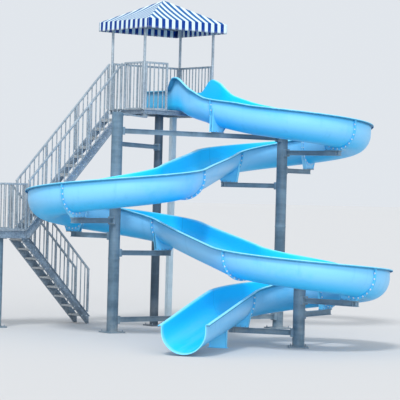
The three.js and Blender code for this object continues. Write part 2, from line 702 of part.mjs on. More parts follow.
// Sloping handrails with bars down to the stringers
function stairRail(name, xTop, zTop, dir, length, slope, y, height) {
  const a = vec(xTop, y, zTop);
  const b = vec(xTop + dir * length, y, zTop - length * slope);
  const stiles = [23 / length, 0.36, 0.68, 1 - 23 / length];
  place(stairs, name, guardPanel(a, b, height, 0, stiles), 'rail');
}

const railLift = 10;
const upperSlope = RISER / GOING;
const upperLength = DECK.x - LANDING.x1 - 26;
for (const [name, y] of [['rail_upper_near', STAIR_Y0 + 25], ['rail_upper_far', STAIR_Y1 - 25]]) {
  stairRail(name, DECK.x - 3, DECK.top - 3 * upperSlope + railLift, -1, upperLength, upperSlope, y, 1060);
}
const lowerSlope = lowerRiser / LOWER_GOING;
const lowerLength = (LOWER_RISES - 1) * LOWER_GOING - 10;
for (const [name, y] of [['rail_lower_near', LOWER_Y0 + 25], ['rail_lower_far', LOWER_Y1 - 25]]) {
  stairRail(name, lowerTopX + 14, landingTop - 14 * lowerSlope + railLift, 1, lowerLength, lowerSlope, y, 1030);
}

function landingGuard(name, a, b) {
  place(stairs, name, guardPanel(a, b, LANDING_GUARD_H, LOW_RAIL, stileEnds(a.distanceTo(b))), 'rail');
}

const edge = 32;
landingGuard('landing_guard_near', vec(LANDING.x1 - 8, LANDING.y0 + edge, landingTop),
  vec(LANDING.x0 + 2 * edge, LANDING.y0 + edge, landingTop));
landingGuard('landing_guard_left', vec(LANDING.x0 + edge, LANDING.y0 + edge - 22, landingTop),
  vec(LANDING.x0 + edge, LANDING.y1 - 2 * edge, landingTop));
landingGuard('landing_guard_far', vec(LANDING.x0 + edge - 22, LANDING.y1 - edge, landingTop),
  vec(lowerTopX - 8, LANDING.y1 - edge, landingTop));

// Canopy
const canopy = section('canopy');
const midX = CANOPY.x;
const midY = CANOPY.y;
const frameZ = CANOPY.eave - 30;
[['front_left', c0.x, c0.y], ['front_right', c1.x, c0.y], ['back_left', c0.x, c1.y], ['back_right', c1.x, c1.y]]
  .forEach(([corner, x, y]) => {
    place(canopy, `canopy_post_${corner}`, pipe(x, y, CANOPY_POST_R, DECK.top + SEAT, frameZ - 20 - SEAT, 16), 'rail');
  });

const halfW = CANOPY.w / 2 - CANOPY.cloth - 20 - SEAT;
const halfD = CANOPY.d / 2 - CANOPY.cloth - 20 - SEAT;
const hipDrop = CANOPY.cloth * 1.3 + 24;
const crown = vec(midX, midY, CANOPY.apex - hipDrop);
const ringBodies = [];
const hipBodies = [pipe(midX, midY, 40, crown.z - 90, crown.z - 16, 16)];
for (const side of [-1, 1]) {
  const y = midY + side * halfD;
  const x = midX + side * halfW;
  const postX = side < 0 ? c0.x : c1.x;
  ringBodies.push(bar(vec(midX - halfW - 20, y, frameZ), vec(midX + halfW + 20, y, frameZ), 40, 40));
  ringBodies.push(bar(vec(x, midY - halfD, frameZ), vec(x, midY + halfD, frameZ), 40, 40));
  ringBodies.push(bar(vec(postX, midY - halfD, frameZ), vec(postX, midY + halfD, frameZ), 40, 40));
  for (const other of [-1, 1]) {
    const corner = vec(x + side * 20, midY + other * (halfD + 20), CANOPY.eave - hipDrop);
    hipBodies.push(bar(corner.lerp(crown, 0.05), crown, 32, 32));
  }
}
place(canopy, 'canopy_ring', fuse(ringBodies), 'rail');
place(canopy, 'canopy_hips', fuse(hipBodies)
  .subtract(block(midX - 2000, midX + 2000, midY - 2000, midY + 2000, 6000, frameZ + 20 + SEAT)), 'rail');

// The cover's outside, or its inside when drawn in by a margin
function tent(margin) {
  const w = CANOPY.w - 2 * margin;
  const d = CANOPY.d - 2 * margin;
  const rise = CANOPY.apex - CANOPY.eave;
  const roof = new THREE.ConeGeometry(Math.SQRT1_2, 1, 4);
  roof.rotateX(Math.PI / 2);
  roof.rotateZ(Math.PI / 4);
  roof.scale(w, d, rise);
  roof.translate(midX, midY, CANOPY.eave + rise / 2 - margin * 1.3);
  const low = margin ? CANOPY.hem - 50 : CANOPY.hem;
  return solid(roof).add(block(midX - w / 2, midX + w / 2, midY - d / 2, midY + d / 2, low,
    CANOPY.eave + 0.5 - margin * 1.3));
}
place(canopy, 'canopy_cover', tent(0).subtract(tent(CANOPY.cloth)), 'canopy');

export default tower;
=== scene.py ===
"""Looks of a water slide tower: a winding moulded flume on steel columns, a railed deck, stairs and a canopy.

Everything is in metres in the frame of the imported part: Z up, origin under the left column's base plate.
"""

from __future__ import annotations

import logging
import math
from collections.abc import Callable, Iterator, Sequence
from contextlib import contextmanager
from dataclasses import dataclass, field
from enum import Enum

import bmesh
import bpy
import numpy as np
from mathutils import Matrix


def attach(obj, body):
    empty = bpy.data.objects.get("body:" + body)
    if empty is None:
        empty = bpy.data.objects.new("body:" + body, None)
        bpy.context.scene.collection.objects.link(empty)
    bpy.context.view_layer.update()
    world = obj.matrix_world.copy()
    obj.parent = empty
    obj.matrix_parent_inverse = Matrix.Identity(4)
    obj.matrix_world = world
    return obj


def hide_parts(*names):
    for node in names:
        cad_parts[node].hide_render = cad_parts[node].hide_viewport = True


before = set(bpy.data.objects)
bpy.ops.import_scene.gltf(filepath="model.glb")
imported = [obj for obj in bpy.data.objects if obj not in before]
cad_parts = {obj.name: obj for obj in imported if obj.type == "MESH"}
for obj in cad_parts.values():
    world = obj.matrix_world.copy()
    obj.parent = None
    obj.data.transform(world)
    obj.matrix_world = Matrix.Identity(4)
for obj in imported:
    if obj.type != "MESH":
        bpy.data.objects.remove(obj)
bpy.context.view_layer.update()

Array = np.ndarray
Colour = tuple[float, float, float]
Plan = tuple[float, float]
Knots = tuple[tuple[float, float], ...]
LOG = logging.getLogger("tower")
SEAT = 0.0003  # clearance between neighbouring pieces
UP = np.array([0.0, 0.0, 1.0])
RUN_MAP, SKIN_MAP = "Run", "skin"


class Slot(Enum):
    """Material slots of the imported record."""

    STEEL = "steel"
    RAIL = "rail"
    PLATE = "plate"
    POST = "post"
    FLUME = "flume"
    CANOPY = "canopy"


# Shader maths


def _math(operation: str, swapped: bool = False) -> Callable[..., Field]:
    """Makes a method of Field that adds one Math node.

    Args:
        operation: the Math node's operation.
        swapped: whether the field comes second, as in a reflected operator.

    Returns:
        The method. Its other value stays 0 where the operation takes only one.
    """

    def method(self: Field, other: Field | float = 0.0) -> Field:
        """The field and the other value joined by the operation."""
        inputs = {0: other, 1: self} if swapped else {0: self, 1: other}
        return Field(self.painter, self.painter.node("ShaderNodeMath", {"operation": operation}, inputs).outputs[0])

    return method


class Field:
    """A number that changes over a surface, wrapped so that Python's operators add its Math nodes."""

    __add__, __mul__, __truediv__ = _math("ADD"), _math("MULTIPLY"), _math("DIVIDE")
    __sub__, __rsub__ = _math("SUBTRACT"), _math("SUBTRACT", True)
    fraction, size, most = _math("FRACT"), _math("ABSOLUTE"), _math("MAXIMUM")

    def __init__(self, painter: Painter, socket: bpy.types.NodeSocket) -> None:
        """Keeps the painter that owns the node tree, and the socket that gives the number."""
        self.painter = painter
        self.socket = socket

    def ramp(self, low: float, high: float, start: float = 0.0, end: float = 1.0) -> Field:
        """Smooth step.

        Args:
            low: the value at which the step starts.
            high: the value at which it ends; it may lie below low, which turns the step round.
            start: the result at and before low.
            end: the result at and past high.

        Returns:
            The stepped field.
        """
        inputs = {"Value": self, "From Min": low, "From Max": high, "To Min": start, "To Max": end}
        made = self.painter.node("ShaderNodeMapRange", {"interpolation_type": "SMOOTHSTEP"}, inputs)
        return Field(self.painter, made.outputs[0])


class Painter:
    """One node material and the few ways in which this scene adds nodes to it."""

    def __init__(self, name: str) -> None:
        """Starts a material with one Principled shader.

        Args:
            name: the material's name.
        """
        self.material = bpy.data.materials.new(name)
        self.material.use_nodes = True
        self.tree = self.material.node_tree

    def node(self, kind: str, settings: dict[str, object], inputs: dict[str | int, object]) -> bpy.types.Node:
        """Adds a node.

        Args:
            kind: the node's type.
            settings: properties that are set first.
            inputs: a value, socket or field for each named or numbered socket.

        Returns:
            The new node.
        """
        made = self.tree.nodes.new(kind)
        for key, value in settings.items():
            setattr(made, key, value)
        for key, value in inputs.items():
            self.feed(made.inputs[key], value)
        return made

    def feed(self, socket: bpy.types.NodeSocket, value: object) -> None:
        """Links a field or socket to an input, or sets the input's own value.

        Args:
            socket: the input.
            value: the field, socket, number or colour for it.
        """
        value = getattr(value, "socket", value)
        if isinstance(value, bpy.types.NodeSocket):
            self.tree.links.new(value, socket)
        elif isinstance(value, tuple) and socket.type == "RGBA":
            socket.default_value = (*value, 1.0)
        else:
            socket.default_value = value

    def place(self, scale: tuple[float, float, float] = (1, 1, 1)) -> bpy.types.NodeSocket:
        """Object coordinates, stretched."""
        coords = self.node("ShaderNodeTexCoord", {}, {}).outputs["Object"]
        return self.node("ShaderNodeMapping", {}, {"Vector": coords, "Scale": scale}).outputs[0]

    def split(self, vector: bpy.types.NodeSocket) -> list[Field]:
        """The three numbers of a vector."""
        return [Field(self, out) for out in self.node("ShaderNodeSeparateXYZ", {}, {0: vector}).outputs]

    def noise(self, vector: bpy.types.NodeSocket, scale: float, detail: float = 3.0, rough: float = 0.55) -> Field:
        """Noise from 0 to 1, with scale cells a metre, detail octaves and the finer octaves' strength."""
        inputs = {"Vector": vector, "Scale": scale, "Detail": detail, "Roughness": rough}
        return Field(self, self.node("ShaderNodeTexNoise", {}, inputs).outputs[0])

    def run(self) -> tuple[Field, Field]:
        """The piece's own run map: distance along it and across it, in metres."""
        along, across, _ = self.split(self.node("ShaderNodeUVMap", {"uv_map": RUN_MAP}, {}).outputs[0])
        return along, across

    def tint(self, factor: Field | float, first: object, second: object) -> bpy.types.NodeSocket:
        """Blends two colours by a field from 0 to 1."""
        return self.node("ShaderNodeMix", {"data_type": "RGBA"}, {0: factor, 6: first, 7: second}).outputs[2]

    def bump(self, height: Field, depth: float, strength: float) -> bpy.types.NodeSocket:
        """A Bump node for a height field, whose full range is depth metres."""
        return self.node("ShaderNodeBump", {}, {"Height": height, "Distance": depth, "Strength": strength}).outputs[0]

    def dress(self, **sockets: object) -> bpy.types.Material:
        """Sets the shader's sockets.

        Args:
            sockets: a value for each; an underscore in a name stands for a space.

        Returns:
            The finished material.
        """
        for key, value in sockets.items():
            self.feed(self.tree.nodes["Principled BSDF"].inputs[key.replace("_", " ")], value)
        return self.material


# Finishes


@dataclass(frozen=True)
class PipePaint:
    """Weathered satin paint on steel, faintly banded across its height, rusting at the foot."""

    name: str
    base: Colour
    faded: Colour
    rust: Colour = (0.17, 0.10, 0.065)
    splash: Colour = (0.34, 0.33, 0.30)
    roughness: float = 0.46

    def make(self) -> bpy.types.Material:
        """Builds the material.

        Returns:
            The material.
        """
        p = Painter(self.name)
        where = p.place()
        height = p.split(where)[2]
        cloud = p.noise(where, 2.4, 5.0, 0.6)
        band = p.noise(p.place((0.25, 0.25, 4.6)), 1.0, 3.0, 0.65)
        streak = p.noise(p.place((16, 16, 0.9)), 1.0, 4.0, 0.6)
        fade = (band * 0.38 + cloud * 0.55 + streak * 0.12).ramp(0.38, 0.67)
        colour = p.tint(fade, self.base, self.faded)
        speck = p.noise(where, 26.0, 4.0, 0.7)
        rusty = (speck + height.ramp(0.02, 0.42, 0.10, 0.0)).ramp(0.70, 0.80)
        colour = p.tint(rusty * 0.6, colour, self.rust)
        splashed = height.ramp(0.1, 0.8, 1.0, 0.0) * cloud.ramp(0.35, 0.65) * 0.35
        colour = p.tint(splashed, colour, self.splash)
        rough = fade * 0.14 + rusty * 0.25 + self.roughness
        normal = p.bump(p.noise(where, 220.0, 2.0) * 0.4 + rusty * 0.6 + speck * 0.2, 0.0012, 0.6)
        return p.dress(Base_Color=colour, Roughness=rough, Normal=normal, Specular_IOR_Level=0.45)


@dataclass(frozen=True)
class Galvanised:
    """Dull zinc with soft spangles, white streaks and patches of grime."""

    name: str
    light: Colour
    dark: Colour
    metallic: float
    grime: Colour = (0.20, 0.18, 0.16)
    chalk: Colour = (0.72, 0.74, 0.76)
    roughness: float = 0.5

    def make(self) -> bpy.types.Material:
        """Builds the material.

        Returns:
            The material.
        """
        p = Painter(self.name)
        where = p.place()
        cells = p.node("ShaderNodeTexVoronoi", {}, {"Vector": where, "Scale": 55.0}).outputs["Color"]
        spangle = Field(p, p.node("ShaderNodeSeparateColor", {}, {0: cells}).outputs[0])
        streak = p.noise(p.place((22, 22, 1.4)), 1.0, 4.0, 0.6)
        mixed = (spangle * 0.35 + p.noise(where, 3.1, 5.0, 0.62) * 0.75 + streak * 0.35).ramp(0.45, 1.0)
        stain = p.noise(where, 9.0, 5.0, 0.7).ramp(0.62, 0.78)
        colour = p.tint(stain * 0.22, p.tint(mixed, self.dark, self.light), self.grime)
        colour = p.tint(streak.ramp(0.58, 0.8) * 0.35, colour, self.chalk)
        rough = mixed * -0.1 + spangle * 0.08 + stain * 0.2 + self.roughness
        normal = p.bump(spangle * 0.25 + p.noise(where, 160.0, 2.0) * 0.5, 0.0008, 0.5)
        return p.dress(Base_Color=colour, Roughness=rough, Metallic=self.metallic, Normal=normal)


@dataclass(frozen=True)
class Gelcoat:
    """Gloss gel coat over glass fibre: deeper inside the trough and brighter there as painted light through the
    laminate, chalked along its edges by wear and as painted highlight and painted light, with a painted highlight
    band on the outer wall and painted shade under the lips, streaked by water.
    """

    name: str
    outside: Colour
    inside: Colour
    chalked: float = 0.0
    # Pale chalk of rubbed gel coat, also used as painted highlight on the lips and painted light on the start tub
    chalk: Colour = (0.36, 0.80, 0.97)
    # Colour of the painted highlight band
    sunlit: Colour = (0.208, 0.585, 0.93)
    washed: Colour = (0.16, 0.66, 0.93)
    drip: Colour = (0.03, 0.32, 0.58)
    # Painted shade under the lips, and dirt in the joints
    grime: Colour = (0.006, 0.185, 0.38)

    def make(self) -> bpy.types.Material:
        """Builds the material.

        Returns:
            The material.
        """
        p = Painter(self.name)
        where = p.place()
        along, across = p.run()
        away = across.size()
        inner, rim, hem = p.split(p.node("ShaderNodeAttribute", {"attribute_name": SKIN_MAP}, {}).outputs["Vector"])
        cloud = p.noise(where, 0.9, 4.0, 0.55)
        drift = p.noise(where, 5.0, 5.0, 0.6)
        # The inside is a deeper blue, and brighter as painted light that stands in for light through the laminate
        colour = p.tint(inner, self.outside, self.inside)
        # Painted highlight: a pale band along the middle of the wall, mostly outside, standing in for sun and sky
        # light
        band = away.ramp(0.20, 0.56) * away.ramp(0.95, 0.66)
        band = band * (cloud * 0.7 + drift * 0.3).ramp(0.28, 0.5, 0.55, 1.0) * (1 - inner * 0.92)
        colour = p.tint(band, colour, self.sunlit)
        # Water has paled the floor in lanes along the run, and drips stain the outside below the lip
        lanes = p.node("ShaderNodeCombineXYZ", {}, {0: along * 0.35, 1: across * 7.0}).outputs[0]
        lanes = p.noise(lanes, 1.6, 5.0, 0.6)
        wet = away.ramp(0.14, 0.5, 1.0, 0.0) * inner * lanes.ramp(0.4, 0.72)
        colour = p.tint(wet * 0.4, colour, self.washed)
        drips = p.noise(p.place((6, 6, 0.6)), 1.0, 4.0, 0.6).ramp(0.54, 0.8)
        colour = p.tint(drips * (1 - inner) * 0.22, colour, self.drip)
        # Hands and feet have rubbed the lips pale, and the same pale paint is painted highlight on the lips' tops and
        # painted light on the start tub; under the lips the tone darkens as painted shade, and dirt has settled in
        # the joints
        scuff = p.noise(where, 11.0, 5.0, 0.68)
        wear_and_painted_light = (rim * (scuff.ramp(0.25, 0.6) * 0.4 + 0.4)).most(scuff.ramp(0.72, 0.9) * 0.16)
        colour = p.tint(wear_and_painted_light * (1 - self.chalked) + self.chalked, colour, self.chalk)
        # Painted shade under the lips and dirt at the joints, both in the grime colour
        colour = p.tint(hem * (1 - scuff.ramp(0.5, 0.75) * 0.35), colour, self.grime)
        peel = p.noise(where, 40.0, 2.0) * 0.3 + p.noise(where, 5.0, 3.0) * 1.6
        gloss = {"Specular_IOR_Level": 0.22, "Coat_Weight": 0.14, "Coat_Roughness": 0.24}
        rough = wear_and_painted_light * 0.2 + drift * 0.12 + 0.34
        return p.dress(Base_Color=colour, Roughness=rough, Normal=p.bump(peel, 0.0018, 0.35), **gloss)


@dataclass(frozen=True)
class AwningCloth:
    """Woven striped awning cloth, sewn in panels, its roof stripes paler than the valance's partly from sun-fading
    and partly as painted sunlight, and dusty along its hems.
    """

    name: str
    blue: Colour
    sunlit: Colour
    white: Colour
    greyed: Colour = (0.62, 0.68, 0.68)
    dust: Colour = (0.42, 0.42, 0.40)
    pitch: float = 0.183
    threads: float = 500.0

    def make(self) -> bpy.types.Material:
        """Builds the material.

        Returns:
            The material.
        """
        p = Painter(self.name)
        where = p.place()
        along, across = p.run()
        stripe = self._wave(along / self.pitch + 0.25).ramp(0.245, 0.265)
        cloud = p.noise(where, 4.0, 5.0, 0.6)
        # Painted sunlight, with some real sun-fading: the roof's blue stripes are paler than the valance's
        roof = across.ramp(-0.01, 0.03)
        blue = p.tint(roof * (cloud.ramp(0.3, 0.7) * 0.3 + 0.7), self.blue, self.sunlit)
        white = p.tint(cloud.ramp(0.4, 0.75) * 0.5, self.white, self.greyed)
        hem = (across.size() - 0.012).size().ramp(0.006, 0.0)
        dusty = (across + 0.20).ramp(0.05, -0.02) * cloud * 0.5
        colour = p.tint(dusty, p.tint(stripe, blue, white), self.dust)
        weave = self._wave(along * self.threads) * self._wave(across * self.threads)
        normal = p.bump(weave * 2.0 + hem * 1.2 + p.noise(where, 12.0, 3.0) * 1.5, 0.0011, 0.55)
        return p.dress(Base_Color=colour, Roughness=cloud * 0.1 + 0.72, Normal=normal, Specular_IOR_Level=0.2)

    def _wave(self, cycles: Field) -> Field:
        """A wave of straight sides, from 0 in the middle of each cycle to a half at its ends."""
        return (cycles.fraction() - 0.5).size()


@dataclass(frozen=True)
class Fastener:
    """Zinc-plated bolts and nuts, dulled by the weather."""

    name: str
    tone: Colour
    stain: Colour = (0.22, 0.25, 0.27)

    def make(self) -> bpy.types.Material:
        """Builds the material.

        Returns:
            The material.
        """
        p = Painter(self.name)
        cloud = p.noise(p.place(), 30.0, 4.0, 0.6)
        colour = p.tint(cloud.ramp(0.6, 0.8) * 0.6, self.tone, self.stain)
        return p.dress(Base_Color=colour, Roughness=cloud * 0.3 + 0.3, Metallic=0.35)


@dataclass(frozen=True)
class PaleFloor:
    """Plain pale studio floor."""

    name: str
    tone: Colour

    def make(self) -> bpy.types.Material:
        """Builds the material."""
        return Painter(self.name).dress(Base_Color=self.tone, Roughness=0.9, Specular_IOR_Level=0.1)


class Finishes:
    """Every finish of the tower, made once."""

    def __init__(self) -> None:
        """Builds the materials."""
        self.column = PipePaint("column_paint", (0.066, 0.125, 0.180), (0.150, 0.245, 0.325)).make()
        self.arm = PipePaint("arm_paint", (0.108, 0.180, 0.245), (0.205, 0.312, 0.40)).make()
        # A darker copy of the column paint: painted shade on the column under the deck
        self.shaded = PipePaint("deck_column_painted_shade", (0.035, 0.066, 0.098), (0.080, 0.130, 0.180)).make()
        self.post = PipePaint("pale_post_paint", (0.46, 0.60, 0.68), (0.60, 0.72, 0.78)).make()
        self.rail = Galvanised("rail_zinc", (0.40, 0.475, 0.53), (0.215, 0.27, 0.325), 0.15).make()
        self.plate = Galvanised("plate_zinc", (0.32, 0.41, 0.495), (0.16, 0.215, 0.28), 0.25).make()
        self.tread = Galvanised("tread_zinc", (0.52, 0.56, 0.58), (0.31, 0.345, 0.37), 0.2).make()
        # The flanges' gel coat is a darker blue than the trough's: painted shade
        foot, flange = (0.06, 0.53, 0.92), (0.035, 0.42, 0.79)
        self.flume = Gelcoat("flume_gelcoat", (0.022, 0.515, 0.95), (0.003, 0.590, 0.96)).make()
        self.foot = Gelcoat("foot_gelcoat", foot, foot, 0.3).make()
        self.flange = Gelcoat("flange_gelcoat_painted_shade", flange, flange, 0.15).make()
        blue, sunlit, white = (0.0005, 0.040, 0.255), (0.005, 0.115, 0.33), (0.66, 0.80, 0.84)
        self.cloth = AwningCloth("awning_cloth", blue, sunlit, white).make()
        self.bolt = Fastener("bright_bolts", (0.66, 0.72, 0.76)).make()
        # Dark bolts: weathered on the steelwork, and painted shade on the trough's feet
        self.dull_and_shade_bolt = Fastener("dull_and_shade_bolts", (0.22, 0.27, 0.32)).make()
        self.floor = PaleFloor("pale_floor", (0.585, 0.585, 0.585)).make()


# Meshes


def lay(*parts: Array | float) -> Array:
    """Numbers or arrays brought to one shape and laid side by side in a last axis."""
    return np.stack(np.broadcast_arrays(*parts), -1)


def circle(angle: Array) -> Array:
    """Points on the unit circle: cosine and sine."""
    return lay(np.cos(angle), np.sin(angle))


def unit(vectors: Array) -> Array:
    """Vectors scaled to length 1."""
    return vectors / np.linalg.norm(vectors, axis=-1, keepdims=True)


def swing(points: Array, turn: float) -> Array:
    """Points in plan turned about the origin: x cos - y sin, x sin + y cos."""
    x, y = points[..., 0], points[..., 1]
    return lay(x * math.cos(turn) - y * math.sin(turn), x * math.sin(turn) + y * math.cos(turn))


def square_to(line: Array) -> Array:
    """Unit vectors on the left of a line of points in a plane: the run between neighbours, turned square."""
    run = np.gradient(line, axis=0)
    return unit(lay(-run[:, 1], run[:, 0]))


def corners(x: float, y: float) -> Array:
    """The four corners of a rectangle about the origin, at x and y from it."""
    return np.array([[i * x, j * y] for i in (-1, 1) for j in (-1, 1)])


def rounded(width: float, height: float, radius: float, steps: int = 2) -> Array:
    """A rectangle with round corners: a quarter circle of points about each corner's centre.

    Args:
        width: its first size.
        height: its second size.
        radius: the corners' radius, cut to what the rectangle has room for.
        steps: spans in each quarter circle.

    Returns:
        The outline.
    """
    radius = min(radius, width / 2.01, height / 2.01)
    angle = np.linspace(0, np.pi / 2, steps + 1) + np.arange(4)[:, None] * np.pi / 2
    centre = np.array([[1, 1], [-1, 1], [-1, -1], [1, -1]]) * (width / 2 - radius, height / 2 - radius)
    return (centre[:, None] + radius * circle(angle)).reshape(-1, 2)


def grid_faces(rows: int, columns: int, around: bool) -> Array:
    """Four-sided faces between neighbouring points of a grid.

    Args:
        rows: number of rings.
        columns: points in each ring.
        around: whether the last point of a ring joins its first.

    Returns:
        Indices, four a face.
    """
    row = np.arange(rows - 1)[:, None] * columns
    column = np.arange(columns if around else columns - 1)[None, :]
    after = (column + 1) % columns
    return lay(row + column, row + after, row + columns + after, row + columns + column).reshape(-1, 4)


def frames_along(origins: Array, axes: Array) -> Array:
    """Frames with a given third axis: the first is level and square to it, the second square to both.

    Args:
        origins: where they stand, one row a frame.
        axes: their third axes, or one for all.

    Returns:
        The frames as n, 3, 4: three axis columns and an origin column.
    """
    axes = unit(np.broadcast_to(axes, origins.shape))
    level = np.cross(UP, axes)
    upright = np.linalg.norm(level, axis=-1, keepdims=True) < 1e-6
    level = unit(np.where(upright, [1.0, 0.0, 0.0], level))
    return lay(level, np.cross(axes, level), axes, origins)


def smooth_line(knots: Sequence[tuple[float, float]], at: Array) -> Array:
    """A smooth height through pairs of distance and value.

    Each span is a cubic whose end slopes follow the neighbouring knots, held to 2.5 times the span's own slope.

    Args:
        knots: pairs of distance and value.
        at: distances.

    Returns:
        The value at each distance.
    """
    key, value = np.array(knots, float).T
    every = np.arange(len(key))
    low, high = np.maximum(every - 1, 0), np.minimum(every + 1, len(key) - 1)
    slope = (value[high] - value[low]) / (key[high] - key[low])
    i = np.clip(np.searchsorted(key, at, side="right") - 1, 0, len(key) - 2)
    span = key[i + 1] - key[i]
    t = np.clip((at - key[i]) / span, 0, 1)
    rise = (value[i + 1] - value[i]) / span
    first, last = (
        np.where(m * rise <= 0, 0.0, np.sign(rise) * np.minimum(np.abs(m), 2.5 * np.abs(rise))) * span
        for m in (slope[i], slope[i + 1])
    )
    t2, t3 = t * t, t * t * t
    ends = (2 * t3 - 3 * t2 + 1) * value[i] + (3 * t2 - 2 * t3) * value[i + 1]
    return ends + (t3 - 2 * t2 + t) * first + (t3 - t2) * last


@contextmanager
def editing(mesh: bpy.types.Mesh) -> Iterator[bmesh.types.BMesh]:
    """Opens a mesh for bmesh and writes it back at the end.

    Args:
        mesh: the mesh.

    Yields:
        Its bmesh.
    """
    shell = bmesh.new()
    shell.from_mesh(mesh)
    yield shell
    shell.to_mesh(mesh)
    shell.free()


@dataclass
class Form:
    """Points and faces gathered from swept outlines and copies, written at the end as one mesh."""

    name: str
    points: list[Array] = field(default_factory=list)
    faces: list[Array] = field(default_factory=list)
    maps: list[Array] = field(default_factory=list)
    skins: list[Array] = field(default_factory=list)
    count: int = 0

    def add(self, points: Array, faces: Sequence[Array], run: Array | None = None, skin: Array | None = None) -> None:
        """Adds points and the faces between them.

        Args:
            points: positions, any shape that ends in 3.
            faces: index arrays counted from the first of these points, one row a face.
            run: distance along and across for each point.
            skin: for each point, 1 where it lies on the trough's inside, on a lip's top and under a lip.
        """
        flat = np.asarray(points, float).reshape(-1, 3)
        self.points.append(flat)
        self.faces += [f + self.count for f in faces]
        self.maps.append(flat[:, :2] if run is None else run.reshape(-1, 2))
        self.skins.append(np.zeros_like(flat) if skin is None else skin.reshape(-1, 3))
        self.count += len(flat)

    def sweep(self, rings: Array, strip: bool = False, run: Array | None = None, skin: Array | None = None) -> None:
        """Closes a row of rings into a solid: a wall round the rings and a cap at either end.

        Args:
            rings: positions as rings, points, 3.
            strip: whether a cap runs between the ring's first half and its second, as on a thin open section.
            run: as in add.
            skin: as in add.
        """
        rows, columns = rings.shape[:2]
        i = np.arange(columns // 2 - 1)
        cap = lay(i, i + 1, columns - 2 - i, columns - 1 - i) if strip else np.arange(columns)[None, :]
        self.add(rings, [grid_faces(rows, columns, True), cap[:, ::-1], cap + (rows - 1) * columns], run, skin)

    def bars(self, starts: Array, ends: Array, outline: Array, plumb: bool = False) -> None:
        """Straight bars with one outline, set out along each bar's side and up vectors at both its ends.

        Args:
            starts: first ends, one row a bar.
            ends: second ends.
            outline: points across and upright.
            plumb: whether the ends of a sloping bar stand upright instead of square to it.
        """
        starts, ends = np.atleast_2d(starts).astype(float), np.atleast_2d(ends).astype(float)
        ahead = unit(ends - starts)
        side = lay(-ahead[:, 1], ahead[:, 0], 0.0)
        side[np.abs(ahead[:, 2]) > 0.999] = (0.0, 1.0, 0.0)
        side = unit(side)
        up = np.broadcast_to(UP, side.shape) if plumb else np.cross(ahead, side)
        shapes = outline[:, 0, None] * side[:, None] + outline[:, 1, None] * up[:, None]
        for start, end, shape in zip(starts, ends, shapes):
            self.sweep(np.stack([start + shape, end + shape]))

    def stack(self, centre: Plan, levels: Sequence[tuple[float, Array]], turn: float = 0.0) -> None:
        """Outlines lying level at given heights, turned and moved to a centre, joined into one solid.

        Args:
            centre: where their origin goes in plan.
            levels: height and outline pairs from the lowest up.
            turn: angle about the origin.
        """
        self.sweep(np.array([lay(*(swing(outline, turn) + centre).T, z) for z, outline in levels]))

    def block(self, low: Sequence[float], high: Sequence[float]) -> None:
        """A level box with eased edges: its plan outline at four heights.

        Args:
            low: the lowest corner.
            high: the highest corner.
        """
        low, high = np.array(low, float), np.array(high, float)
        size = high - low
        ease = min(0.003, *(size / 3))
        inner, outer = (rounded(size[0] - 2 * cut, size[1] - 2 * cut, ease * 1.5) for cut in (ease, 0.0))
        levels = [(low[2], inner), (low[2] + ease, outer), (high[2] - ease, outer), (high[2], inner)]
        self.stack((high[:2] + low[:2]) / 2, levels)

    def plate(self, centre: Plan, side: float, low: float, high: float, turn: float = 0.0) -> None:
        """A level square plate with eased edges: its plan outline at four heights.

        Args:
            centre: its middle in plan.
            side: its size.
            low: its underside's height.
            high: its top's height.
            turn: its angle in plan.
        """
        inner, outer = rounded(side - 0.005, side - 0.005, 0.006), rounded(side, side, 0.008)
        self.stack(centre, [(low, inner), (low + 0.003, outer), (high - 0.003, outer), (high, inner)], turn)

    def revolve(self, centre: Plan, profile: Sequence[tuple[float, float]], sides: int) -> None:
        """A solid of revolution about an upright axis: circles of given radius and height.

        Args:
            centre: the axis in plan.
            profile: radius and height pairs from the lowest to the highest.
            sides: points round each circle.
        """
        ring = circle(np.linspace(0, 2 * np.pi, sides, endpoint=False))
        self.stack(centre, [(z, ring * r) for r, z in profile])

    def copies(self, shape: Form, places: Array) -> None:
        """Repeats another form at many places: its points times each frame's axes, plus the frame's origin.

        Args:
            shape: the form to repeat.
            places: frames as n, 3, 4.
        """
        base = np.concatenate(shape.points)
        moved = np.einsum("nij,pj->npi", places[:, :, :3], base) + places[:, None, :, 3]
        shift = np.arange(len(places))[:, None, None] * len(base)
        self.add(moved, [(f[None] + shift).reshape(-1, f.shape[1]) for f in shape.faces])

    def build(self, sharp: float) -> bpy.types.Object:
        """Writes the mesh, points its faces outwards and smooths it up to a given edge angle.

        Args:
            sharp: edges sharper than this many degrees stay hard.

        Returns:
            The new object.
        """
        mesh = bpy.data.meshes.new(self.name)
        points, skins = np.concatenate(self.points), np.concatenate(self.skins)
        ends = np.concatenate([f.reshape(-1) for f in self.faces]).astype(np.int32)
        sizes = np.concatenate([np.full(len(f), f.shape[1]) for f in self.faces])
        mesh.vertices.add(len(points))
        mesh.vertices.foreach_set("co", points.astype(np.float32).ravel())
        mesh.loops.add(len(ends))
        mesh.loops.foreach_set("vertex_index", ends)
        mesh.polygons.add(len(sizes))
        mesh.polygons.foreach_set("loop_start", (sizes.cumsum() - sizes).astype(np.int32))
        run = np.concatenate(self.maps)[ends].astype(np.float32)
        mesh.uv_layers.new(name=RUN_MAP).data.foreach_set("uv", run.ravel())
        skin = mesh.attributes.new(SKIN_MAP, "FLOAT_VECTOR", "POINT")
        skin.data.foreach_set("vector", skins.astype(np.float32).ravel())
        mesh.update(calc_edges=True)
        with editing(mesh) as shell:
            bmesh.ops.recalc_face_normals(shell, faces=shell.faces)
        mesh.shade_smooth()
        mesh.set_sharp_from_angle(angle=math.radians(sharp))
        made = bpy.data.objects.new(self.name, mesh)
        bpy.context.scene.collection.objects.link(made)
        return made


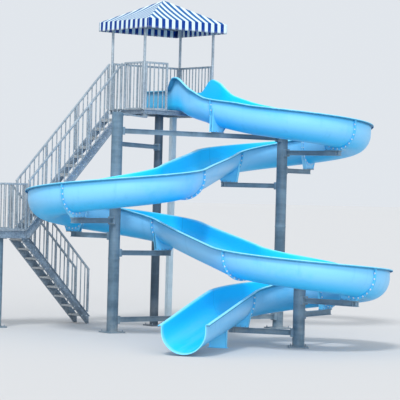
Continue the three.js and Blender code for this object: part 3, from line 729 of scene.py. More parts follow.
def bolt_head(radius: float, tall: float = 0.8) -> Form:
    """A washer and a six-sided head standing on the plane z = 0.

    Args:
        radius: the head's radius.
        tall: height of the head's edge in radii.

    Returns:
        The form.
    """
    made = Form("bolt")
    made.revolve((0, 0), radius * np.array([(1.45, 0), (1.45, 0.18), (1.3, 0.26)]), 12)
    made.revolve((0, 0), radius * np.array([(1, 0), (1, tall), (0.86, tall + 0.16)]), 6)
    return made


def anchor_bolt(radius: float) -> Form:
    """A plate washer, nut and standing stud on the plane z = 0.

    Args:
        radius: the nut's radius.

    Returns:
        The form.
    """
    made = bolt_head(radius, 1.0)
    made.revolve((0, 0), radius * np.array([(0.56, 0), (0.56, 2.6), (0.45, 2.75)]), 10)
    return made


@dataclass
class SubAssembly:
    """A group of pieces that ride on the fixed tower."""

    finishes: Finishes

    def place(
        self, form: Form, finish: bpy.types.Material, slot: Slot, stands_for: Sequence[str] = (), sharp: float = 32.0
    ) -> bpy.types.Object:
        """Writes a form as a dressed piece of the tower.

        Args:
            form: its mesh.
            finish: its material.
            slot: the record's slot that the finish belongs to; not used.
            stands_for: CAD nodes that it replaces.
            sharp: edges sharper than this many degrees stay hard.

        Returns:
            The piece.
        """
        piece = form.build(sharp)
        piece.data.materials.append(finish)
        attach(piece, "root")
        if stands_for:
            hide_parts(*stands_for)
        LOG.info("%s: %d faces", piece.name, len(piece.data.polygons))
        return piece

    def carry_over(self, finish: bpy.types.Material, *nodes: str) -> None:
        """Gives CAD nodes that stay in view their finish.

        Args:
            finish: the material.
            nodes: the nodes' names.
        """
        for name in nodes:
            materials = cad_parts[name].data.materials
            materials.clear()
            materials.append(finish)
            LOG.info("%s: carried over", name)


# Flume


@dataclass(frozen=True)
class Foot:
    """A moulded foot: its base's reach either side of the middle line, and the angles of its web's arc in degrees."""

    outer: float
    inner: float
    low: float
    high: float

    def web(self, half: float, radius: float, count: int) -> Array:
        """The web's upper edge, an arc under the trough: radius sin across, half the width less radius cos up."""
        arc = np.radians(np.linspace(self.low, self.high, count))
        return lay(radius * np.sin(arc), half - radius * np.cos(arc))


SIDE_FOOT = Foot(0.045, 0.335, -45.0, 75.0)
SADDLE = Foot(0.200, 0.200, -64.0, 64.0)
TIE_FOOT = Foot(0.030, 0.450, -40.0, 88.0)
EXIT_FOOT = Foot(0.170, 0.170, -23.0, 23.0)


@dataclass(frozen=True)
class Joint:
    """A bolted joint: its distance, and the top, side and foot of the arm that carries it, if any."""

    s: float
    top: float = 0.0
    inward: int = 0
    foot: Foot = SIDE_FOOT


@dataclass
class Station:
    """Places on the route: floor points with unit vectors to the left and ahead."""

    point: Array
    left: Array
    ahead: Array

    @property
    def turn(self) -> float:
        """The angle in plan from X to the vector to the left."""
        return math.atan2(self.left[0, 1], self.left[0, 0])

    def lift(self, section: Array, depth: Array | float = 0.0) -> Array:
        """Puts a section in space: left by its first number, up by its second, ahead by the depth."""
        return self.point + section[..., :1] * self.left + section[..., 1:] * UP + depth * self.ahead


@dataclass
class FlumeRoute:
    """The flume's centre line in plan with its floor and lip heights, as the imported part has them."""

    start: Plan = (2.690, 1.003)
    straight: float = 0.506
    # Turns in order: the centre's x and y, the radius, and 1 for a turn to the left or -1 for one to the right
    turns: tuple[tuple[float, float, float, int], ...] = (
        (3.818, 0.497, 1.128, 1), (4.613, -0.025, 1.547, 1), (-0.175, -0.291, 1.444, -1), (1.402, -4.538, 1.381, 1),
    )
    exit: Plan = (-2.064, -5.378)
    tub_back: float = -1.130
    # Heights against distance: the floor's underside, then each lip over it
    floor_knots: Knots = (
        (-1.0, 4.9043), (0.06, 4.9043), (0.35, 4.755), (0.7, 4.63), (1.0, 4.54), (1.96, 4.359), (5.76, 3.942),
        (9.55, 3.418), (13.3, 2.939), (17.46, 2.406), (21.62, 1.838), (25.16, 1.431), (29.07, 0.982),
        (32.98, 0.43), (36.27, 0.032),
    )
    right_knots: Knots = (
        (-1.0, 0.46), (-0.3, 0.46), (-0.18, 0.505), (0.01, 0.752), (0.3, 0.76), (0.65, 0.677), (0.85, 0.612),
        (1.05, 0.608), (1.65, 0.655), (9.55, 0.64), (13.3, 0.69), (21.62, 0.59), (25.16, 0.57), (32.98, 0.655),
        (36.27, 0.53),
    )
    left_knots: Knots = (
        (-1.0, 0.46), (-0.22, 0.46), (-0.09, 0.54), (0.2, 0.81), (0.4, 0.86), (0.8, 0.825), (1.25, 0.748),
        (1.96, 0.69), (9.55, 0.57), (13.3, 0.632), (21.62, 0.596), (25.16, 0.63), (32.98, 0.654), (36.27, 0.58),
    )
    joints: tuple[Joint, ...] = (
        Joint(0.985, 4.405, -1, TIE_FOOT), Joint(3.9, 4.078, 1), Joint(6.72, 3.673, 1, SADDLE),
        Joint(9.02, 3.316, 1), Joint(13.28), Joint(16.13, 2.469, -1), Joint(18.74, 2.132, -1, SADDLE),
        Joint(21.06, 1.776, -1), Joint(25.5), Joint(28.1, 1.010, 1), Joint(30.46, 0.715, 1), Joint(32.9, 0.350, 1),
    )

    def __post_init__(self) -> None:
        """Lays the straight and curved runs end to end by common tangents.

        Each run is a row: the distance, x, y and heading at its start, and its bend.
        """
        heading, s = -math.pi / 2, self.straight
        runs = [(0.0, *self.start, heading, 0.0)]
        stops = [*self.turns, (*self.exit, 0.0, 1)]
        for (cx, cy, r, side), (nx, ny, nr, nside) in zip(stops, stops[1:]):
            leave = math.atan2(ny - cy, nx - cx) - math.asin((nside * nr - side * r) / math.hypot(nx - cx, ny - cy))
            arc = ((leave - heading) * side) % (2 * math.pi) * r
            runs.append((s, *self._on_turn(cx, cy, side * r, heading), heading, side / r))
            start, end = self._on_turn(cx, cy, side * r, leave), self._on_turn(nx, ny, nside * nr, leave)
            runs.append((s + arc, *start, leave, 0.0))
            s += arc + math.dist(start, end)
            heading = leave
        self.runs = np.array(runs)
        self.length = s

    @staticmethod
    def _on_turn(x: float, y: float, radius: float, heading: float) -> Plan:
        """The place on a turn about x, y where the route has a heading: the centre plus the radius square to it."""
        return x + radius * math.sin(heading), y - radius * math.cos(heading)

    def at(self, s: Array | float) -> Station:
        """Places along the route: from a run's start by the chord of its arc, at half the angle turned.

        Args:
            s: distances.

        Returns:
            The floor's underside and the unit vectors there.
        """
        s = np.atleast_1d(s)
        i = np.clip(np.searchsorted(self.runs[:, 0], s, side="right") - 1, 0, None)
        base, x, y, start, bend = np.moveaxis(self.runs[i], -1, 0)
        half = (s - base) * bend / 2
        chord = (s - base) * np.sinc(half / np.pi)
        plan = x + chord * np.cos(start + half), y + chord * np.sin(start + half)
        c, n = np.cos(start + 2 * half), np.sin(start + 2 * half)
        return Station(lay(*plan, smooth_line(self.floor_knots, s)), lay(-n, c, 0.0), lay(c, n, 0.0))


@dataclass
class Flume(SubAssembly):
    """The moulded trough: thirteen bolted pieces with rolled lips, flanges, feet and an end bead."""

    route: FlumeRoute = field(default_factory=FlumeRoute)
    half: float = 0.440
    wall: float = 0.012
    lip_reach: float = 0.060
    lip_drop: float = 0.034
    lip_round: float = 0.013
    # How far the tub's mouth flares, where and over what distance; where its corners start and end to round out
    mouth_flare: float = 0.062
    mouth: Plan = (-0.07, 0.15)
    tub_end: Plan = (0.1, 0.76)
    fillet: float = 0.026
    tub_corner: float = 0.14
    # Flanges, with their lap into the wall and gap to the joint; their bolts stand at a share of the reach
    flange_reach: float = 0.046
    flange_thick: float = 0.017
    flange_lap: float = 0.004
    flange_gap: float = 0.0008
    flange_bolt: float = 0.013
    bolt_gap: float = 0.001
    bolt_circle: float = 0.55
    # Feet, the strips down their webs, and the plate on the arm that they stand over
    foot_thick: float = 0.060
    foot_bolt: float = 0.010
    strip_thick: float = 0.011
    strip_proud: float = 0.014
    arm_plate: float = 0.0143
    exit_foot_at: float = 33.9
    bead: tuple[float, float] = (0.012, 0.011)
    # Distance between a shell's rings, and between the closer rings at its ends
    step: float = 0.065
    seam: float = 0.007
    arc_steps: int = 20
    # How far the section's first points belong to the lip, whose top is paled by wear and as painted highlight, and
    # lie under it inside and under it outside, where they are darkened as painted shade
    lip_points: tuple[float, ...] = (0.8, 0.9, 1, 1, 1, 1, 1, 0.9, 0.5, 0.2)
    hem_shade_points: tuple[float, ...] = (0.9, 0.9, 0.5)
    under_lip_shade_points: tuple[float, ...] = (0.85,) * 11

    def build(self) -> None:
        """Builds every piece of the flume."""
        joints = self.route.joints
        marks = [self.route.tub_back, *(joint.s for joint in joints), self.route.length]
        for i, (a, b) in enumerate(zip(marks, marks[1:])):
            self._shell(i, a + (SEAT / 2 if i else 0), b - (SEAT / 2 if i < len(joints) else 0))
        flanges, bolts = Form("flume_flanges"), Form("flume_flange_bolts")
        feet, foot_bolts = Form("flume_feet"), Form("flume_foot_bolts")
        for joint in joints:
            self._flange(flanges, bolts, joint.s)
            if joint.inward:
                self._foot(feet, foot_bolts, joint)
        self.place(flanges, self.finishes.flange, Slot.FLUME)
        self.place(feet, self.finishes.foot, Slot.FLUME)
        # The feet's bolts are darkened as painted shade
        self.place(foot_bolts, self.finishes.dull_and_shade_bolt, Slot.STEEL)
        self.place(bolts, self.finishes.bolt, Slot.STEEL)
        self._exit_foot()
        self._edge_bead()

    def _half_line(self, s: Array, knots: Knots, depth: float) -> Array:
        """Half of the section from the hem of the lip to the middle of the floor.

        The line goes up the hem, round the lip's outer edge, in along its top, down through a fillet and the wall,
        and round the corner's quarter circle to the floor. The corner is small in the start tub and half the width
        further on, and the lip reaches further out where the tub's mouth flares.

        Args:
            s: distances.
            knots: the lip's height over the floor.
            depth: 0 for the skin that riders see, the wall's thickness for the outer skin.

        Returns:
            Sideways offset and height as distances, points, 2.
        """
        (narrow, wide), (mouth, spread) = self.tub_end, self.mouth
        growth = [(-1.0, self.tub_corner), (narrow, self.tub_corner), (wide, self.half), (40, self.half)]
        corner, lip = smooth_line(growth, s)[:, None], smooth_line(knots, s)[:, None]
        flare = self.mouth_flare * np.exp(-(((s - mouth) / spread) ** 2))[:, None]
        reach = self.half + self.lip_reach + flare
        inner, turn, edge = self.half - self.wall, self.lip_round, self.lip_round - depth * 0.6
        bend, wall_top = self.fillet - depth, lip - self.fillet
        quarter, arc = (np.linspace(0, np.pi / 2, n)[None, :] for n in (4, self.arc_steps + 1))
        radius = corner - self.wall + depth
        lines = [
            (reach - depth, lip - self.lip_drop * np.array([1.0, 0.7])),
            (reach - turn + edge * np.cos(quarter), lip - turn + edge * np.sin(quarter)),
            ((reach - turn + inner + self.fillet) / 2, lip - depth),
            (inner + self.fillet - bend * np.sin(quarter), wall_top + bend * np.cos(quarter)),
            (inner + depth, wall_top + (corner - wall_top) * np.array([0.33, 0.67])),
            (self.half - corner + radius * np.cos(arc), corner - radius * np.sin(arc)),
        ]
        return np.concatenate([lay(*line) for line in lines], 1)

    def _line(self, s: Array, depth: float) -> Array:
        """The whole section from the left lip's hem over the floor to the right lip's hem, as in _half_line."""
        left, right = (self._half_line(s, knots, depth) for knots in (self.route.left_knots, self.route.right_knots))
        return np.concatenate([left[:, :-1], right[:, ::-1] * [-1.0, 1.0]], 1)

    def _shell(self, number: int, a: float, b: float) -> None:
        """One moulded piece: the closed section carried along the route, upright and square to it.

        Args:
            number: the piece's number from the top.
            a: distance at which it starts.
            b: distance at which it ends.
        """
        s = np.linspace(a + 2 * self.seam, b - 2 * self.seam, max(8, int((b - a) / self.step)) + 1)
        s = np.concatenate([[a, a + self.seam], s, [b - self.seam, b]])
        inner, outer = self._line(s, 0.0), self._line(s, self.wall)
        rings = self.route.at(s[:, None]).lift(np.concatenate([inner, outer[:, ::-1]], 1))
        count = inner.shape[1]
        stride = np.linalg.norm(np.diff(inner, axis=1), axis=-1)
        girth = np.concatenate([np.zeros((len(s), 1)), stride.cumsum(1)], 1)
        girth -= girth[:, [count // 2]]
        across = np.concatenate([girth, girth[:, ::-1]], 1)
        # The masks: inside or outside; the lips, paled by wear and as painted highlight, with pale paint at both open
        # ends, painted light on the start tub and a rubbed pale band at the exit; painted shade under the lips, and
        # dirt at the joints
        lips, hems, under = np.zeros((3, count))
        for mask, values in ((lips, self.lip_points), (hems, self.hem_shade_points), (under, self.under_lip_shade_points)):
            mask[: len(values)] = values
            mask[-len(values) :] = values[::-1]
        end = self.route.length
        chalk = smooth_line([(-0.45, 0.3), (-0.18, 0.0), (end - 0.16, 0.0), (end - 0.06, 0.8)], s)[:, None]
        sealed = np.zeros((len(s), 1))
        sealed[0], sealed[-1] = 0.55 * (number > 0), 0.55 * (number < len(self.route.joints))
        rim = np.maximum(np.tile(lips, 2), chalk)
        hem = np.maximum(np.concatenate([hems, under]), sealed)
        form = Form(f"flume_piece_{number:02d}")
        form.sweep(rings, True, lay(s[:, None], across), lay(np.repeat([1.0, 0.0], count), rim, hem))
        self.place(form, self.finishes.flume, Slot.FLUME, [f"flume_{number:02d}"], 40.0)

    def _wall_path(self, s: float, count: int) -> tuple[Array, Array]:
        """The outer wall at one distance, from under the left lip round to under the right lip.

        Args:
            s: the distance.
            count: points along it, evenly spaced.

        Returns:
            Sideways offset and height of each point, and the outward direction there.
        """
        line = self._line(np.array([s]), self.wall)[0, 7:-7]
        stride = np.concatenate([[0], np.linalg.norm(np.diff(line, axis=0), axis=1).cumsum()])
        even = np.linspace(0.01, stride[-1] - 0.01, count)
        path = lay(*(np.interp(even, stride, line[:, k]) for k in (0, 1)))
        return path, square_to(path)

    def _flange(self, form: Form, bolts: Form, s: float) -> None:
        """Both flanges of a joint, a small rounded outline carried round the outer wall, and their bolts.

        Args:
            form: takes the flanges.
            bolts: takes the bolts.
            s: the joint's distance.
        """
        station, reach, thick, lap = self.route.at(s), self.flange_reach, self.flange_thick, self.flange_lap
        outline = rounded(reach + lap, thick, lap)
        path, outward = self._wall_path(s, 61)
        ring = path[:, None] + outward[:, None] * (outline[:, :1] + reach / 2 - lap / 2)
        path, outward = self._wall_path(s, 17)
        holes = path + outward * reach * self.bolt_circle
        for side in (-1, 1):
            form.sweep(station.lift(ring, outline[:, 1:] + side * (thick / 2 + self.flange_gap)))
            origins = station.lift(holes, side * (thick + self.bolt_gap))
            bolts.copies(bolt_head(self.flange_bolt), frames_along(origins, side * station.ahead))

    def _foot(self, form: Form, bolts: Form, joint: Joint) -> None:
        """A moulded foot: its web down to an eased flange on the arm, and eight bolts.

        The web's outline is an arc of the shell and straight sides down to the flange.

        Args:
            form: takes the foot.
            bolts: takes the bolts.
            joint: the joint above it.
        """
        foot, thick, inward = joint.foot, self.foot_thick, joint.inward
        station = self.route.at(joint.s)
        base = joint.top + self.arm_plate - station.point[0, 2]
        arc = foot.web(self.half, self.half - 0.004, 15)
        outline = np.concatenate([arc, [[foot.inner, base], [-foot.outer, base]]]) * [inward, 1]
        ease, drawn_in, rise = 0.006, 0.985, 0.013
        self._web(form, station, outline, [(0.0, drawn_in), (ease, 1.0), (thick - ease, 1.0), (thick, drawn_in)])
        span, centre = foot.inner + foot.outer, (foot.inner - foot.outer) / 2 * inward
        x, y, z = station.lift(np.array([[centre, base]]), thick / 2)[0]
        plan, small = rounded(span + 0.02, thick + 0.05, 0.012), rounded(span + 0.012, thick + 0.042, 0.010)
        levels = [(z + SEAT, small), (z + 0.003, plan), (z + 0.011, plan), (z + rise, small)]
        form.stack((x, y), levels, station.turn)
        grid = np.array([[i * span, j] for i in np.linspace(-0.42, 0.42, 4) for j in (-1, 1)])
        seats = lay(grid[:, 0] + centre, base + rise)
        origins = station.lift(seats, thick / 2 + grid[:, 1:] * (thick / 2 + 0.013))
        bolts.copies(bolt_head(self.foot_bolt), frames_along(origins, UP))

    def _web(self, form: Form, station: Station, outline: Array, depths: Sequence[Plan]) -> None:
        """A foot's web, its outline drawn in towards its middle at the faces, with a strip down either side.

        A strip is the side's two ends and the same ends moved square to the side.

        Args:
            form: takes them.
            station: the place over the foot.
            outline: the web's outline, whose last two points are its bottom corners.
            depths: pairs of depth and the outline's share of its size there.
        """
        middle, proud = outline.mean(0), self.strip_proud
        form.sweep(np.array([station.lift(middle + (outline - middle) * share, depth) for depth, share in depths]))
        for high, low in ((outline[0], outline[-1]), (outline[-3], outline[-2])):
            x, z = unit(low - high) * self.strip_thick
            strip = np.array([high, low, low + [-z, x], high + [-z, x]])
            form.sweep(np.array([station.lift(strip, depth) for depth in (-proud, self.foot_thick + proud)]))

    def _exit_foot(self) -> None:
        """The symmetric foot under the exit: a web like the others', on an eased plate on the ground."""
        station, reach = self.route.at(self.exit_foot_at), EXIT_FOOT.inner
        base = 0.011 - station.point[0, 2]
        outline = np.concatenate([EXIT_FOOT.web(self.half, self.half + 0.001, 13), [[reach, base], [-reach, base]]])
        form = Form("flume_exit_foot")
        self._web(form, station, outline, [(depth, 1.0) for depth in (0.0, 0.02, 0.04, 0.06)])
        x, y, _ = (station.point + station.ahead * self.foot_thick / 2)[0]
        small, plan = rounded(0.41, 0.14, 0.01), rounded(0.42, 0.15, 0.012)
        form.stack((x, y), [(0.0, small), (0.009, plan), (0.012, small)], station.turn)
        self.place(form, self.finishes.foot, Slot.FLUME, ["exit_foot"])

    def _edge_bead(self) -> None:
        """The thickened edge round the exit's end: a small ellipse carried round the section."""
        wide, deep = self.bead
        s = np.array([self.route.length - wide])
        line = (self._line(s, 0.0) + self._line(s, self.wall))[0, 2:-2] / 2
        angle = np.linspace(0, 2 * np.pi, 10, endpoint=False)[:, None]
        form = Form("flume_exit_bead")
        ring = line[:, None] + wide * np.cos(angle) * square_to(line)[:, None]
        form.sweep(self.route.at(s).lift(ring, deep * np.sin(angle)))
        self.place(form, self.finishes.foot, Slot.FLUME, sharp=60.0)


# Steelwork

DECK_UNDER = 4.799
LANDING_UNDER = 1.9602


@dataclass(frozen=True)
class Column:
    """A pipe column: its place and size, its base plate's size and turn, its weld ring's height and head's size."""

    node: str
    x: float
    y: float
    top: float
    radius: float
    plate: float
    turn: float = 0.0
    ring: float = 0.0
    head: float = 0.0


@dataclass
class Steelwork(SubAssembly):
    """Columns, their base plates and anchors, and the arms and ties that the columns carry."""

    route: FlumeRoute = field(default_factory=FlumeRoute)
    # Thickness of base plates, and the radii of nuts and heads
    base: float = 0.025
    anchor: float = 0.015
    clamp_bolt: float = 0.012
    # Width and depth of the rolled sections
    arm_size: Plan = (0.090, 0.108)
    beam_size: Plan = (0.070, 0.096)
    # Clamp plates: width and height, or what they add to a tie's section, and how far the face stands off the pipe
    arm_clamp: tuple[float, float, float] = (0.170, 0.168, 0.026)
    tie_clamp: tuple[float, float, float] = (0.070, 0.060, 0.032)
    clamp_holes: Plan = (0.019, 0.018)
    foot_thick: float = 0.060
    columns: tuple[Column, ...] = (
        Column("column_left", 0.0, 0.0, 4.745, 0.122, 0.420, ring=1.59),
        Column("column_right", 4.555, -0.05, 4.470, 0.122, 0.450, ring=2.33),
        Column("column_front", 1.467, -4.502, 1.191, 0.122, 0.400, -0.643),
        Column("column_deck", 2.165, 1.49, DECK_UNDER - 0.019, 0.097, 0.360, head=0.330),
        Column("column_landing_near", -1.63, 2.063, LANDING_UNDER - 0.015, 0.084, 0.320, head=0.240),
        Column("column_landing_far", -1.63, 2.82, LANDING_UNDER - 0.015, 0.084, 0.320, head=0.240),
    )

    def build(self) -> None:
        """Builds the columns, arms, ties and the beam under the deck, and dresses the pad under the first joint."""
        anchors, bolts = Form("anchor_bolts"), Form("arm_plate_bolts")
        for column in self.columns:
            self._column(column, anchors)
        self._square_post(anchors)
        self.place(anchors, self.finishes.dull_and_shade_bolt, Slot.STEEL)
        self.carry_over(self.finishes.arm, "pad_tie")
        left, right, front, deck = self.columns[:4]
        carried = [joint for joint in self.route.joints if joint.inward][1:]
        for i, joint in enumerate(carried):
            name, column = (("right", right), ("left", left), ("front", front))[i // 3]
            self._arm(column, joint, f"arm_{name}_{i % 3 + 1}", bolts)
        self._tie("tie_upper", left, right, 4.351, self.arm_size, bolts)
        self._tie("tie_lower", left, right, 0.278, self.arm_size, bolts)
        self._tie("beam_deck", left, deck, 4.071, self.beam_size, bolts)
        self.place(bolts, self.finishes.dull_and_shade_bolt, Slot.STEEL)
        self._head_arm()

    def _column(self, column: Column, anchors: Form) -> None:
        """One column: circles up the pipe with its base weld, ring weld and cap, over an eased square plate.

        Args:
            column: its sizes.
            anchors: takes its anchor bolts.
        """
        form, place = Form(f"{column.node}_pipe"), (column.x, column.y)
        r, foot, ring, top = column.radius, self.base - 0.001, column.ring, column.top
        profile = [(r + 0.012, foot), (r + 0.009, foot + 0.006), (r, foot + 0.014)]
        if ring:
            profile += [(r, ring - 0.016), (r + 0.005, ring - 0.008), (r + 0.005, ring + 0.008), (r, ring + 0.016)]
        profile += [(r, top - 0.004), (r - 0.003, top)]
        if not column.head:
            profile += [(r - 0.013, top + 0.001), (r - 0.016, top + 0.008)]
        form.revolve(place, profile, 56)
        form.plate(place, column.plate, 0.0, self.base, column.turn)
        if column.head:
            form.plate(place, column.head, top - 0.001, top + 0.0187)
        # The column under the deck takes the darker copy as painted shade
        paint = self.finishes.shaded if column.node == "column_deck" else self.finishes.column
        self.place(form, paint, Slot.STEEL, [column.node])
        self._anchors(anchors, place, self.base, column.plate / 2 - 0.05, self.anchor, column.turn)

    def _anchors(self, form: Form, centre: Plan, z: float, reach: float, radius: float, turn: float = 0.0) -> None:
        """Four anchor bolts at the corners of a base plate.

        Args:
            form: takes them.
            centre: the plate's middle.
            z: the plate's top.
            reach: their distance from the middle both ways.
            radius: a nut's radius.
            turn: the plate's angle.
        """
        origins = lay(*(swing(corners(reach, reach), turn) + centre).T, z)
        form.copies(anchor_bolt(radius), frames_along(origins, UP))

    def _square_post(self, anchors: Form) -> None:
        """The pale square post under the deck, a rounded tube with a plate at either end.

        Args:
            anchors: takes its anchor bolts.
        """
        form, place, top = Form("post_deck_tube"), (3.005, 2.1), DECK_UNDER - 0.015
        tube = rounded(0.127, 0.127, 0.012, 3)
        form.stack(place, [(0.019, tube), (top, tube)])
        form.plate(place, 0.260, 0.0, 0.020)
        form.plate(place, 0.200, top - 0.001, DECK_UNDER - SEAT)
        self.place(form, self.finishes.post, Slot.POST, ["post_deck"])
        self._anchors(anchors, place, 0.020, 0.095, 0.010)

    def _arm(self, column: Column, joint: Joint, node: str, bolts: Form) -> None:
        """A cantilever arm: a rolled section from its clamp to past the joint, stiffened under a flat pad.

        Args:
            column: what carries it.
            joint: the flume's joint over it.
            node: the CAD node that it stands for.
            bolts: takes its bolts.
        """
        form, foot, thick = Form(f"{node}_section"), joint.foot, self.foot_thick
        station = self.route.at(joint.s + thick / 2)
        point = station.point[0]
        root = np.array([column.x, column.y, joint.top - self.arm_size[1] / 2])
        under = np.array([*point[:2], root[2]])
        way = unit(under - root)
        width, tall, pad = self.arm_clamp
        self._section(form, root + way * (column.radius + pad - 0.001), under + way * thick, self.arm_size)
        self._clamp(form, bolts, column, way, root[2], (width, tall), pad)
        for reach in (-0.045, 0.035):
            rib = under + way * reach
            form.bars(rib - UP * 0.045, rib + UP * 0.045, rounded(0.008, 0.084, 0.001))
        seat = point + station.left[0] * joint.inward * (foot.inner - foot.outer) / 2
        plan = rounded(foot.inner + foot.outer + 0.024, thick + 0.060, 0.008)
        form.stack(seat[:2], [(joint.top - 0.001, plan), (joint.top + 0.0135, plan)], station.turn)
        self.place(form, self.finishes.arm, Slot.STEEL, [node])

    def _tie(self, node: str, a: Column, b: Column, z: float, size: Plan, bolts: Form) -> None:
        """A rolled section between two columns, clamped to both.

        Args:
            node: the CAD node that it stands for.
            a: the first column.
            b: the second column.
            z: its middle's height.
            size: its width and depth.
            bolts: takes its bolts.
        """
        form = Form(f"{node}_section")
        start, end = np.array([a.x, a.y, z]), np.array([b.x, b.y, z])
        way, (wider, taller, pad) = unit(end - start), self.tie_clamp
        plate = size[0] + wider, size[1] + taller
        self._section(form, start + way * (a.radius + pad - 0.001), end - way * (b.radius + pad - 0.001), size)
        for column, side in ((a, way), (b, -way)):
            self._clamp(form, bolts, column, side, z, plate, pad)
        self.place(form, self.finishes.arm, Slot.STEEL, [node])

    def _section(self, form: Form, a: Array, b: Array, size: Plan) -> None:
        """A rolled section with two flanges between two points: half its outline and the same mirrored.

        Args:
            form: takes it.
            a: its start.
            b: its end.
            size: its width and depth.
        """
        x, z, flange, web, fillet = size[0] / 2, size[1] / 2, 0.010, 0.005, 0.004
        lower = [(x, z), (x, z - flange), (web, z - flange - fillet)]
        half = np.array([(x, -z) for x, z in lower] + lower[::-1])
        form.bars(a, b, np.concatenate([half, half[::-1] * [-1, 1]]))

    def _clamp(
        self, form: Form, bolts: Form, column: Column, way: Array, z: float, size: Plan, pad: float
    ) -> None:
        """A thick plate coped to a column: the pipe's arc and a flat face, with four bolts in the face.

        Args:
            form: takes the plate.
            bolts: takes the bolts.
            column: the column it clasps.
            way: the unit vector that it faces.
            z: its middle's height.
            size: its width and height.
            pad: how far its face stands off the pipe.
        """
        (width, tall), radius, face = size, column.radius + SEAT, column.radius + pad
        arc = np.linspace(-1, 1, 11) * math.asin(width / 2 / radius)
        edge = [(face - 0.003, width / 2), (face, width / 2 - 0.003)]
        edge += [(x, -y) for x, y in edge[::-1]]
        outline = np.concatenate([radius * circle(arc), edge])
        levels = [(z - tall / 2, outline), (z + tall / 2, outline)]
        form.stack((column.x, column.y), levels, math.atan2(way[1], way[0]))
        holes = corners(width / 2 - self.clamp_holes[0], tall / 2 - self.clamp_holes[1])
        side = np.array([-way[1], way[0], 0.0])
        origins = np.array([column.x, column.y, z]) + way * face + holes[:, :1] * side + holes[:, 1:] * UP
        bolts.copies(bolt_head(self.clamp_bolt), frames_along(origins, way))

    def _head_arm(self) -> None:
        """The slim arm from the left column's head to the deck, its packing block and the bent strip under it.

        The strip is a small rectangle carried along a curve that leaves the column and runs out under the arm.
        """
        form = Form("arm_deck_bar")
        way, side, height = np.array([0.806, 0.592]), np.array([-0.592, 0.806]), 4.724
        form.bars([*(way * 0.1235), height], [1.534, 1.128, height], rounded(0.080, 0.030, 0.004))
        form.block((1.434, 1.053, 4.7385), (1.534, 1.153, 4.7987))
        knots = [(0.122, 4.520), (0.17, 4.585), (0.24, 4.650), (0.33, 4.692), (0.44, 4.7035), (0.70, 4.7045)]
        out = np.linspace(0.1225, 0.70, 25)
        line = lay(out, smooth_line(knots, out))
        shape = rounded(0.060, 0.009, 0.002)
        ring = line[:, None] + shape[:, 1:] * square_to(line)[:, None]
        form.sweep(np.concatenate([ring[..., :1] * way + shape[:, :1] * side, ring[..., 1:]], -1))
        self.place(form, self.finishes.rail, Slot.STEEL, ["arm_deck"])


# Deck, stairs and guards


@dataclass(frozen=True)
class Guard:
    """A guard panel's node, line, height and where its middle posts stand as shares of its length."""

    node: str
    a: tuple[float, float, float]
    b: tuple[float, float, float]
    height: float
    middle: tuple[float, ...] = ()


@dataclass(frozen=True)
class Flight:
    """A flight of steps: its top, which way it goes down along X, its steps, sides, foot, and its guards' line."""

    name: str
    x: float
    z: float
    way: int
    rises: int
    riser: float
    going: float
    run: float
    sides: Plan
    cut: float
    rail: Plan
    rail_height: float

    def at(self, distance: float) -> Plan:
        """X and height on the line of its nosings, at a distance in plan from its top."""
        return self.x + self.way * distance, self.z - distance * self.riser / self.going


